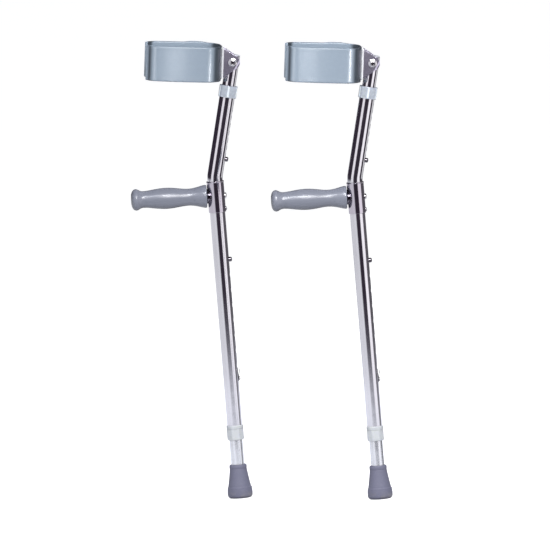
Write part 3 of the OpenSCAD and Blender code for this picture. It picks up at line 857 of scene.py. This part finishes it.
# ---------------------------------------------------------------- telescoping tubes
def inner_tube(z0, z1, matrix, cutters, radial):
    broken = 0.3
    heights = list(np.linspace(z0 + 6, z1 - 6, 20))
    outside = [(INNER_R - broken, z0), (INNER_R, z0 + broken)] + [(INNER_R, z) for z in heights]
    outside += [(INNER_R, z1 - broken), (INNER_R - broken, z1)]
    inside = [(INNER_BORE + broken, z1), (INNER_BORE, z1 - broken)]
    inside += [(INNER_BORE, z) for z in reversed(heights)]
    inside += [(INNER_BORE, z0 + broken), (INNER_BORE + broken, z0)]
    return polish(boolean(revolve(outside + inside, 96, matrix), cutters), radial)


def cuff_tube_plug():
    # (radius, height above the cuff tube's top)
    profile = [
        (0, -6.6), (9.0, -6.6), (9.3, -6.3), (9.56, -5.9), (9.56, 0.03), (10.6, 0.03),
        (11.05, 0.15), (11.1, 0.4), (11.0, 0.75), (10.7, 1.15), (10.2, 1.45), (9.5, 1.6),
        (7.5, 1.72), (4, 1.8), (0, 1.82)]
    return sharpen(revolve([(r, CUFF_TUBE_TOP + z) for r, z in profile], 96, UPPER), 40)


PIVOT_HOLE = rod(UPPER @ at(0, 0, PIVOT_UP) @ turn(math.pi / 2, "X"), -20, 20, 3.0)
pair(inner_tube(7.6, 425, LOWER, [button_hole(LOWER, LEG_HOLE_Z, INNER_R, chamfer=0.2)],
                radial_lower), "leg_tube", "leg", "leg_tube", "leg_aluminium")
pair(inner_tube(12, CUFF_TUBE_TOP, UPPER,
                [button_hole(UPPER, CUFF_HOLE_Z, INNER_R, chamfer=0.2), PIVOT_HOLE],
                radial_upper), "cuff_tube", "cuff_tube", "cuff_tube", "polished_tube")
pair(cuff_tube_plug(), "plug", "cuff_tube", "cuff_tube_plug", "nylon", "plug_nylon")


# ---------------------------------------------------------------- push buttons and their springs
def button(base, z):
    r, top, rounding = 3.97, MAIN_R + 5, 2.4
    profile = [(0, 6.7), (5.2, 6.7), (5.4, 6.9), (5.4, 7.4), (5.2, 7.6), (r, 7.6),
               (r, top - rounding)]
    for k in range(1, 9):
        a = math.pi / 2 * k / 8
        profile.append((r - rounding + rounding * math.cos(a),
                        top - rounding + rounding * math.sin(a)))
    profile += [(0.8, top + 0.03), (0, top + 0.05)]
    return sharpen(revolve(profile, 48, along_x(base, z)), 40)


def spring(name, base, z, direction, node):
    """V spring with its +X arm under the button and its other arm near the tube's far wall; each crutch gets a
    fixed copy.
    """
    arm_x, back_x, arm_top, elbow = 6.2, -8.5, 5.8, -6
    line = fillet([(arm_x, arm_top), (arm_x, elbow), (-1.0, -37.6), (back_x, elbow),
                   (back_x, arm_top)], [0, 3, 1.4, 3, 0], 6)
    line = [(px, pz * direction) for px, pz in line]
    for side in SIDES:
        matrix = Matrix.Translation(OFFSET[side]) @ base @ at(0, 0, z)
        mesh = strip(line, half_width=3.3, half_thick=0.4, edge=0.2, step=1.5, matrix=matrix)
        sharpen(mesh, 40).materials.append(MATERIALS["spring_steel"])
        ob = link_object(f"{side}_{name}", mesh)
        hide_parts(f"{side}_{node}")
        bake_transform(ob)


pair(button(LOWER, LEG_HOLE_Z), "leg_button", "leg_button", "leg_button",
     "plated_steel", "button_steel")
pair(button(UPPER, CUFF_HOLE_Z), "cuff_button", "cuff_button", "cuff_button",
     "plated_steel", "button_steel")
spring("leg_spring", LOWER, LEG_HOLE_Z, 1, "leg_button_spring")
spring("cuff_spring", UPPER, CUFF_HOLE_Z, -1, "cuff_button_spring")

# ---------------------------------------------------------------- rubber tip
# (height, radius) up the outside
TIP_STATIONS = [
    (1.0, 18.3), (2.2, 19.5), (4.2, 20.5), (7, 20.8), (12, 20.7), (16.0, 20.3), (17.2, 20.25),
    (18.0, 19.85), (18.9, 19.2), (20.0, 18.85), (22, 18.55), (26, 17.7), (33, 16.5),
    (43, 14.9), (46, 14.5)]
# (radius, height) across the ringed sole
TIP_SOLE = [
    (0, 0.6), (3, 0.6), (3.4, 0), (5.8, 0), (6, 0.2), (6.1, 1.5), (7.9, 1.5), (8, 0.2),
    (8.2, 0), (10.8, 0), (11, 0.2), (11.1, 1.5), (12.9, 1.5), (13, 0.2), (13.2, 0),
    (16.4, 0), (17.4, 0.3)]
# (radius, height) over the collar and down the socket
TIP_COLLAR = [
    (14.35, 48.2), (14.1, 48.7), (14.1, 49.1), (14.45, 49.6), (14.5, 51.6), (14.4, 53.8),
    (14.0, 55.1), (13.2, 55.7), (12.2, 55.6), (11.5, 55.1), (11.2, 54.2), (11.2, 5.9), (0, 5.9)]


def rubber_tip():
    outer = [(r, z) for z, r in catmull(TIP_STATIONS, 4)]
    return sharpen(revolve(TIP_SOLE + outer + TIP_COLLAR, 128), 50)


pair(rubber_tip(), "tip", "leg", "rubber_tip", "tip_rubber")

# ---------------------------------------------------------------- cuff cover
# plan: a flat at the back, a corner arc, a gently bowed side and a lip that curls in
BACK_HALF_FLAT, BACK_CORNER_R = 10.0, 33.0
SIDE_LEN, SIDE_R = 76.6, 300.0
LIP_R = 24.0
LIP_END = math.radians(160)
SIDE_HALF_ANGLE = math.asin(SIDE_LEN / 2 / SIDE_R)
CORNER_C = np.array([-CUFF_BACK - BACK_CORNER_R, BACK_HALF_FLAT])
SIDE_C = CORNER_C + (BACK_CORNER_R - SIDE_R) * np.array(
    [math.sin(SIDE_HALF_ANGLE), math.cos(SIDE_HALF_ANGLE)])
LIP_C = SIDE_C + (SIDE_R - LIP_R) * np.array(
    [-math.sin(SIDE_HALF_ANGLE), math.cos(SIDE_HALF_ANGLE)])
CUFF_MID_Z, CUFF_HEIGHT = -2.4, 59.2
CUFF_Z0, CUFF_Z1 = CUFF_MID_Z - CUFF_HEIGHT / 2, CUFF_MID_Z + CUFF_HEIGHT / 2


def cuff_half_path():
    """Outer plan line on the +Y side: points and outward normals, from the back to the lip."""
    path = [((-CUFF_BACK, y), (1.0, 0.0)) for y in np.linspace(0, BACK_HALF_FLAT, 7)[:-1]]
    side_start = math.pi / 2 - SIDE_HALF_ANGLE
    side_end = math.pi / 2 + SIDE_HALF_ANGLE
    # centre, radius, start angle, end angle, steps
    arcs = [(CORNER_C, BACK_CORNER_R, 0, side_start, 30),
            (SIDE_C, SIDE_R, side_start, side_end, 36),
            (LIP_C, LIP_R, side_end, LIP_END, 22)]
    for centre, r, start, end, steps in arcs:
        for k in range(steps + (1 if r == LIP_R else 0)):
            a = start + (end - start) * k / steps
            normal = (math.cos(a), math.sin(a))
            path.append(((centre[0] + r * normal[0], centre[1] + r * normal[1]), normal))
    return path


def cuff_section(low, high, bulge, steps=14):
    """Closed loop of (depth from the outer face, z); the rims are rolled beads."""
    mid = CUFF_WALL / 2
    r = mid + bulge
    z0, z1 = low + r, high - r

    def swell(z):
        q = max(0.0, 1 - min(z - z0, z1 - z) / 5)
        return q * q * (3 - 2 * q)
    angles = [math.pi * k / 10 for k in range(1, 10)]
    up = [z0 + (z1 - z0) * k / steps for k in range(steps + 1)]
    down = [z1 - (z1 - z0) * k / steps for k in range(steps + 1)]
    return ([(-bulge * swell(z), z) for z in up]
            + [(mid - r * math.cos(a), z1 + r * math.sin(a)) for a in angles]
            + [(CUFF_WALL + bulge * swell(z), z) for z in down]
            + [(mid + r * math.cos(a), z0 - r * math.sin(a)) for a in angles])


def lip_bead(side):
    """Rolled bead down the end of one lip."""
    r, rounding = 3.0, 1.6
    z0, z1 = CUFF_Z0 + 0.3, CUFF_Z1 - 0.3
    end = []
    for k in range(7):
        a = math.pi / 2 * k / 6
        end.append((r - rounding + rounding * math.sin(a), rounding - rounding * math.cos(a)))
    profile = [(0, z0)] + [(er, z0 + h) for er, h in end]
    profile += [(r, z) for z in np.linspace(z0 + 5, z1 - 5, 8)]
    profile += [(er, z1 - h) for er, h in reversed(end)] + [(0, z1)]
    x = LIP_C[0] + (LIP_R - CUFF_WALL / 2) * math.cos(LIP_END)
    y = side * (LIP_C[1] + (LIP_R - CUFF_WALL / 2) * math.sin(LIP_END))
    return revolve(profile, 40, CUFF @ at(x, y, 0))


def back_holes(x, half_length, r):
    """Cutters for the two rivet holes in the cuff's closed side."""
    return [rod(CUFF @ at(x, 0, z) @ turn(math.pi / 2, "Y"), -half_length, half_length, r)
            for z in CUFF_RIVET_Z]


def cuff_cover():
    half = cuff_half_path()
    path = [((x, -y), (nx, -ny)) for (x, y), (nx, ny) in reversed(half[1:])] + half
    points = np.array([point for point, _ in path])
    steps = np.linalg.norm(np.diff(points, axis=0), axis=1)
    run = np.concatenate([[0], np.cumsum(steps)])
    rings = []
    for i, ((x, y), (nx, ny)) in enumerate(path):
        from_end = min(run[i], run[-1] - run[i])
        inset = corner_inset(from_end, 2.2)
        # the rims swell away from the back, and the +Y side's upper rim rises in the middle
        bulge = 0.40 * min(1.0, max(0.0, (abs(y) - 14) / 8)) * min(1.0, from_end / 4 + 0.2)
        rise = 1.5 * math.exp(-((x + 60) / 16) ** 4) if y > 0 else 0.0
        section = cuff_section(CUFF_Z0 + inset, CUFF_Z1 - inset + rise, bulge)
        rings.append([place(CUFF, x - nx * d, y - ny * d, z) for d, z in section])
    mesh = skin(rings, closed=False, capped=True)
    mesh = boolean(mesh, [join([lip_bead(side) for side in (-1, 1)])], "UNION")
    return sharpen(boolean(mesh, [join(back_holes(-20, 12, 2.6))]), 45)


pair(cuff_cover(), "cuff", "cuff", "cuff_cover", "cuff_vinyl")

# ---------------------------------------------------------------- cuff bracket
# bent sheet: a web across -X and two ears whose round noses surround the pivot
WEB_TOP, WEB_BOTTOM = 26.0, -28.4
NOSE_R = 12.0
BRACKET_BEND_R = 4.0


def nose_touch(z, sign):
    """Point where a straight edge from the web at height z touches the nose."""
    a = math.atan2(z, -CUFF_BACK)
    a += sign * math.acos(NOSE_R / float(np.linalg.norm([-CUFF_BACK, z])))
    return NOSE_R * math.cos(a), NOSE_R * math.sin(a)


def sheet_edge(x, web_z, touch, sign):
    """Height of the sheet's upper (sign 1) or lower (sign -1) edge at x."""
    if x < touch[0]:
        return web_z + (touch[1] - web_z) * (x + CUFF_BACK) / (touch[0] + CUFF_BACK)
    return sign * math.sqrt(max(0.0, NOSE_R ** 2 - x * x))


def bracket_path():
    """Outer plan line (x, y, normal x, normal y) from the +Y nose by the web to the -Y nose."""
    line = []
    for k in range(22):
        line.append((NOSE_R * math.cos(math.radians(2 + 86 * k / 21)), EAR_OUT, 0.0, 1.0))
    for x in np.linspace(0.4, -CUFF_BACK + BRACKET_BEND_R, 14)[1:]:
        line.append((x, EAR_OUT, 0.0, 1.0))
    for k in range(1, 13):
        a = math.radians(90 * k / 12)
        line.append((-CUFF_BACK + BRACKET_BEND_R - BRACKET_BEND_R * math.sin(a),
                     EAR_OUT - BRACKET_BEND_R + BRACKET_BEND_R * math.cos(a),
                     -math.sin(a), math.cos(a)))
    for y in np.linspace(EAR_OUT - BRACKET_BEND_R, 0, 6)[1:]:
        line.append((-CUFF_BACK, y, -1.0, 0.0))
    return line + [(x, -y, nx, -ny) for x, y, nx, ny in reversed(line[:-1])]


def bracket_section(low, high, steps=12):
    """Closed loop of (depth from the outer face, z) with rounded edges."""
    b = min(0.38, max(0.05, (high - low) / 2 - 0.01))
    flat = high - low - 2 * b

    def arc(degrees, outer, upper):
        out = []
        for a in map(math.radians, degrees):
            d = b - b * math.cos(a) if outer else PLATE - b + b * math.cos(a)
            out.append((d, high - b + b * math.sin(a) if upper else low + b - b * math.sin(a)))
        return out
    return ([(0.0, low + b + flat * k / steps) for k in range(steps + 1)]
            + arc((30, 60, 90), outer=True, upper=True)
            + arc((60, 30, 0), outer=False, upper=True)
            + [(PLATE, high - b - flat * k / steps) for k in range(1, steps + 1)]
            + arc((30, 60, 90), outer=False, upper=False)
            + arc((60, 30), outer=True, upper=False))


def cuff_bracket():
    touch_top, touch_bottom = nose_touch(WEB_TOP, -1), nose_touch(WEB_BOTTOM, 1)
    # the ears' outer faces are coined thinner towards the lower +X side of the nose
    coin_slope, coin_start, coin_max = math.tan(math.radians(19.0)), 6.6, 1.4
    coin_x, coin_z = math.cos(math.radians(-28)), math.sin(math.radians(-28))
    rings = []
    for x, y, nx, ny in bracket_path():
        ring = []
        low = sheet_edge(x, WEB_BOTTOM, touch_bottom, -1)
        high = sheet_edge(x, WEB_TOP, touch_top, 1)
        for d, z in bracket_section(low, high):
            if ny != 0 and x > -5:
                q = max(0.0, x * coin_x + z * coin_z - coin_start)
                d = d + min(coin_max, q * coin_slope) * (1 - d / PLATE)
            ring.append(place(CUFF, x - nx * d, y - ny * d, z))
        rings.append(ring)
    mesh = skin(rings, closed=False, capped=True)
    holes = [rod(CUFF @ turn(math.pi / 2, "X"), -30, 30, 3.02)] + back_holes(-CUFF_BACK, 6, 2.5)
    return sharpen(boolean(mesh, [join(holes)]), 38)


pair(cuff_bracket(), "bracket", "cuff", "cuff_bracket", "bracket_steel")

# ---------------------------------------------------------------- pivot bolt, nut and cuff rivets
EAR_SEAT = EAR_OUT + 0.05              # where the bolt's head and nut begin


def pivot_bolt():
    """Bolt along Y with its flanged head on the -Y side."""
    matrix = Matrix.Translation(PIVOT) @ turn(math.pi / 2, "X")
    tail = -EAR_OUT - 4.8
    # (radius, height above the ear)
    head = [(2.95, 0), (7.1, 0), (7.3, 0.2), (7.3, 0.55), (7.1, 0.85), (6.6, 1.05),
            (5.9, 1.15), (5.45, 1.4), (5.3, 2.0), (5.15, 2.5), (4.8, 3.0), (4.2, 3.4),
            (3.4, 3.58), (2.6, 3.6), (0, 3.6)]
    socket = [(0, 1.8), (2.1, 1.8), (2.1, 3.3), (2.45, 3.7), (2.9, 4.2), (0, 4.2)]
    profile = [(0, tail), (2.6, tail), (2.95, tail + 0.4)]
    profile += [(r, EAR_SEAT + z) for r, z in head]
    cutter = revolve([(r, EAR_SEAT + z) for r, z in socket], 40, matrix)
    return sharpen(boolean(revolve(profile, 72, matrix), [cutter]), 32)


def pivot_nut():
    cap = [(4.9, 0), (5.3, 0.1), (5.8, 0.6), (5.8, 3.0), (5.3, 3.5), (4.7, 3.62), (4.4, 3.8),
           (4.35, 4.3), (4.1, 4.5), (3.5, 4.5)]
    matrix = Matrix.Translation(PIVOT) @ at(0, EAR_SEAT, 0) @ turn(-math.pi / 2, "X")
    return nut(6, 5.0, 0.0, cap, [(3.1, 4.2), (3.0, 4.0), (3.0, 0)], matrix)


def dome(r, height, base):
    """Low domed head (radius, z) on the base height, from its rim to its middle."""
    edge = 0.35
    out = [(r, 0.0), (r, edge * 0.6), (r - edge * 0.3, edge)]
    for k in range(1, 9):
        a = math.pi / 2 * k / 8
        out.append(((r - edge) * math.cos(a), edge + (height - edge) * math.sin(a)))
    return [(dome_r, base + z) for dome_r, z in out]


def cuff_rivets():
    """Two rivets through the cuff's closed side: heads inside it, to -X, and tails to +X."""
    gap = 0.04
    inside, outside = CUFF_WALL + gap, PLATE + gap
    rivets = []
    for z in CUFF_RIVET_Z:
        matrix = CUFF @ at(-CUFF_BACK, 0, z)
        head = [(0, -2.6), (2.2, -2.6), (2.4, -2.4), (2.4, inside)] + dome(4.6, 1.7, inside)
        rivets.append(revolve(head, 48, matrix @ turn(-math.pi / 2, "Y")))
        tail = [(0, outside), (3.6, outside)] + dome(3.8, 1.4, outside)[1:]
        rivets.append(revolve(tail, 48, matrix @ turn(math.pi / 2, "Y")))
    return sharpen(join(rivets), 45)


pair(pivot_bolt(), "pivot_bolt", "cuff", "pivot_bolt", "plated_steel", "chromed_steel")
pair(pivot_nut(), "pivot_nut", "cuff", "pivot_nut", "plated_steel")
pair(cuff_rivets(), "cuff_rivets", "cuff", "cuff_rivets", "plated_steel")


# ---------------------------------------------------------------- camera and lights, metres
def direction(azimuth, elevation):
    """Unit vector; azimuth runs from -Y towards +X."""
    return Vector((math.sin(azimuth) * math.cos(elevation),
                   -math.cos(azimuth) * math.cos(elevation), math.sin(elevation)))


def make_camera():
    azimuth, elevation, roll = (math.radians(a) for a in (-2.0, 6.0, -4.63))
    view_size = 0.913
    # picture centre from the left crutch's foot, along the camera's right and up
    centre_right, centre_up = 0.057104, 0.36935
    data = bpy.data.cameras.new("camera")
    ob = link_object("camera", data)
    data.type = "ORTHO"
    data.ortho_scale = view_size
    data.clip_start, data.clip_end = 0.1, 60
    back = direction(azimuth, elevation)
    level = Vector((math.cos(azimuth), math.sin(azimuth), 0))
    upright = back.cross(level)
    right = level * math.cos(roll) + upright * math.sin(roll)
    up = upright * math.cos(roll) - level * math.sin(roll)
    matrix = Matrix((right, up, back)).transposed().to_4x4()
    matrix.translation = right * centre_right + up * centre_up + back * 6.0
    ob.matrix_world = matrix
    bpy.context.scene.camera = ob


def area(name, azimuth, elevation, distance, size, power, color,
         target=(0.06, -0.1, 0.42), glossy=True, diffuse=True):
    light = bpy.data.lights.new(name, "AREA")
    light.shape = "RECTANGLE"
    light.size, light.size_y = size
    light.energy = power
    light.color = color
    ob = link_object(name, light)
    away = direction(math.radians(azimuth), math.radians(elevation))
    ob.location = Vector(target) + away * distance
    ob.rotation_mode = "QUATERNION"
    ob.rotation_quaternion = away.to_track_quat("Z", "Y")
    ob.visible_glossy = glossy
    ob.visible_diffuse = diffuse
    return ob


def highlight(name, piece, **settings):
    """Light seen only in the reflections of one piece, on both crutches."""
    light = area(name, diffuse=False, **settings)
    receivers = bpy.data.collections.new("lit_by_" + light.name)
    for side in SIDES:
        receivers.objects.link(bpy.data.objects[f"{side}_{piece}"])
    light.light_linking.receiver_collection = receivers


make_camera()
area("key", azimuth=8, elevation=32, distance=2.6, size=(1.3, 1.0), power=62,
     color=(1.0, 0.99, 0.98))
area("fill", azimuth=-70, elevation=12, distance=3.0, size=(1.6, 1.8), power=9,
     color=(0.93, 0.95, 1.0), glossy=False)
area("back", azimuth=165, elevation=35, distance=3.0, size=(1.8, 1.2), power=42,
     color=(1.0, 1.0, 1.0), glossy=False)

SPACING = OFFSET["right"] - OFFSET["left"]
for i, (dx, dy) in enumerate(((0.0, 0.0), (SPACING.x, SPACING.y))):
    cuff_light = {"piece": "cuff", "distance": 2.4, "target": (-0.045 + dx, dy, 0.73)}
    highlight(f"cuff_mid_{i}", azimuth=-4.5, elevation=-6, size=(0.05, 1.3), power=4.5,
              color=(0.96, 0.98, 1.0), **cuff_light)
    highlight(f"cuff_right_{i}", azimuth=50, elevation=-4, size=(0.22, 1.3), power=16.0,
              color=(1.0, 1.0, 1.0), **cuff_light)
    highlight(f"cuff_left_{i}", azimuth=-48, elevation=-4, size=(0.10, 1.3), power=4.0,
              color=(1.0, 1.0, 1.0), **cuff_light)
    highlight(f"grip_top_{i}", piece="grip", azimuth=-4, elevation=42, distance=2.2,
              size=(0.9, 0.22), power=10.0, color=(0.93, 0.96, 1.0),
              target=(-0.08 + dx, dy, 0.505))


# ---------------------------------------------------------------- floor and reflected paper
def plane(name, size, z):
    half = size / 2
    mesh = bpy.data.meshes.new(name)
    corners = [(-half, -half, z), (half, -half, z), (half, half, z), (-half, half, z)]
    mesh.from_pydata(corners, [], [(0, 1, 2, 3)])
    ob = link_object(name, mesh)
    return ob


def make_floor():
    """Bright floor that the camera sees but reflections and bounce light do not."""
    floor = plane("floor", size=60, z=0.0)
    new_shader("floor").set({
        "Base Color": (0.80, 0.80, 0.80, 1), "Roughness": 0.9, "Specular IOR Level": 0.0,
        "Emission Color": (1, 1, 1, 1), "Emission Strength": 0.72})
    floor.data.materials.append(MATERIALS["floor"])
    floor.visible_glossy = False
    floor.visible_diffuse = False
    floor.visible_transmission = True


def make_paper():
    """White sheet that reflections see; its far edge fades out."""
    paper = plane("paper", size=9, z=-0.0004)
    s = new_shader("paper")
    x, y, _ = s.xyz(s.coords["Object"])
    reach = s.length(x, y)
    incoming = s.node("ShaderNodeNewGeometry").outputs["Incoming"]
    shallow = s.remap(s.xyz(incoming)[2], span=(0.125, 0.165), to=(1, 0), smooth=True)
    near = s.remap(reach, span=(0.35, 0.6), to=(1, 0), smooth=True)
    around = s.azimuth(x, y)
    # a dimmer wedge towards +X
    gap = s.times(s.remap(around, span=(76, 82), smooth=True),
                  s.remap(around, span=(104, 112), to=(1, 0), smooth=True))
    fade = s.times(s.remap(reach, span=(1.0, 3.0), to=(1, 0), smooth=True),
                   s.calc("MAXIMUM", shallow, near))
    fade = s.times(fade, s.invert(s.times(gap, 0.85)))
    clear = s.node("ShaderNodeBsdfTransparent").outputs[0]
    glow = s.node("ShaderNodeEmission", {"Color": (0.90, 0.92, 1.0, 1),
                                         "Strength": 1.08}).outputs[0]
    s.feed(s.tree.nodes["Material Output"].inputs["Surface"], s.mix_shader(fade, clear, glow))
    s.tree.nodes.remove(s.surface)
    paper.data.materials.append(MATERIALS["paper"])
    paper.visible_camera = False
    paper.visible_diffuse = False
    paper.visible_shadow = False


make_floor()
make_paper()


# ---------------------------------------------------------------- world
def make_world():
    """White to the camera, even grey to diffuse light, and soft boxes to reflections."""
    world = bpy.data.worlds.new("studio")
    bpy.context.scene.world = world
    world.use_nodes = True
    world.node_tree.nodes.clear()
    g = Graph(world.node_tree)

    def step(value, low, high):
        return g.remap(value, span=(low, high), smooth=True)

    def until(value, low, high):
        return g.invert(step(value, low, high))

    def band(value, low, high, soft):
        return g.times(step(value, low - soft, low + soft), until(value, high - soft, high + soft))

    # azimuth from -Y towards +X and elevation, both in degrees
    x, y, z = g.xyz(g.coords["Generated"])
    azimuth = g.azimuth(x, y)
    elevation = g.times(g.calc("ARCSINE", z, 0.0), 57.29578)
    below = g.calc("MAXIMUM", g.times(g.calc("ADD", elevation, 6.0), -1.0), 0.0)
    # the right-hand soft box gets narrower as the view drops
    far_edge = until(g.calc("ADD", azimuth, g.times(below, 0.65)), 73.5, 82.5)
    right_box = g.times(g.times(step(azimuth, 27.5, 36.5), far_edge), band(elevation, -40, 26, 7))
    left_box = g.times(band(azimuth, -60, -26, 3.5), band(elevation, -2.5, 30, 3.5))
    table = g.times(band(azimuth, -185, -26, 7), until(elevation, -5.0, 0.5))
    back_right = g.times(g.times(step(azimuth, 98, 110), until(azimuth, 140, 150)),
                         until(elevation, -14, -10))
    grey_right = g.times(band(azimuth, 84, 200, 8), step(elevation, -10, -7))
    top_box = g.times(band(azimuth, -75, 75, 12), band(elevation, 22, 48, 7))
    underfoot = until(elevation, -48, -32)
    # area, strength, colour
    patches = [(right_box, 1.14, (1.0, 0.98, 1.0)), (left_box, 0.98, (1.0, 0.97, 1.0)),
               (table, 0.80, (0.95, 0.97, 1.0)), (back_right, 0.72, (1, 1, 1)),
               (grey_right, 0.09, (1, 1, 1)), (top_box, 1.0, (0.97, 0.98, 1.0)),
               (underfoot, 0.45, (0.9, 0.92, 1.0))]
    total = g.node("ShaderNodeRGB").outputs[0]
    total.default_value = (0.034, 0.026, 0.040, 1)
    for patch, strength, color in patches:
        lit = g.vector("SCALE", {0: [strength * c for c in color], "Scale": patch})[0]
        total = g.vector("ADD", {0: total, 1: lit})[0]

    def background(color, strength=1.0):
        return g.node("ShaderNodeBackground", {"Color": color, "Strength": strength}).outputs[0]
    ray = g.node("ShaderNodeLightPath").outputs
    lighting = g.mix_shader(ray["Is Diffuse Ray"], background(total),
                            background((0.92, 0.94, 1.0, 1), 0.33))
    surface = g.mix_shader(ray["Is Camera Ray"], lighting, background((1, 1, 1, 1)))
    g.node("ShaderNodeOutputWorld", {"Surface": surface})


make_world()
bpy.context.scene.view_settings.view_transform = "Standard"
bpy.context.scene.view_settings.look = "None"
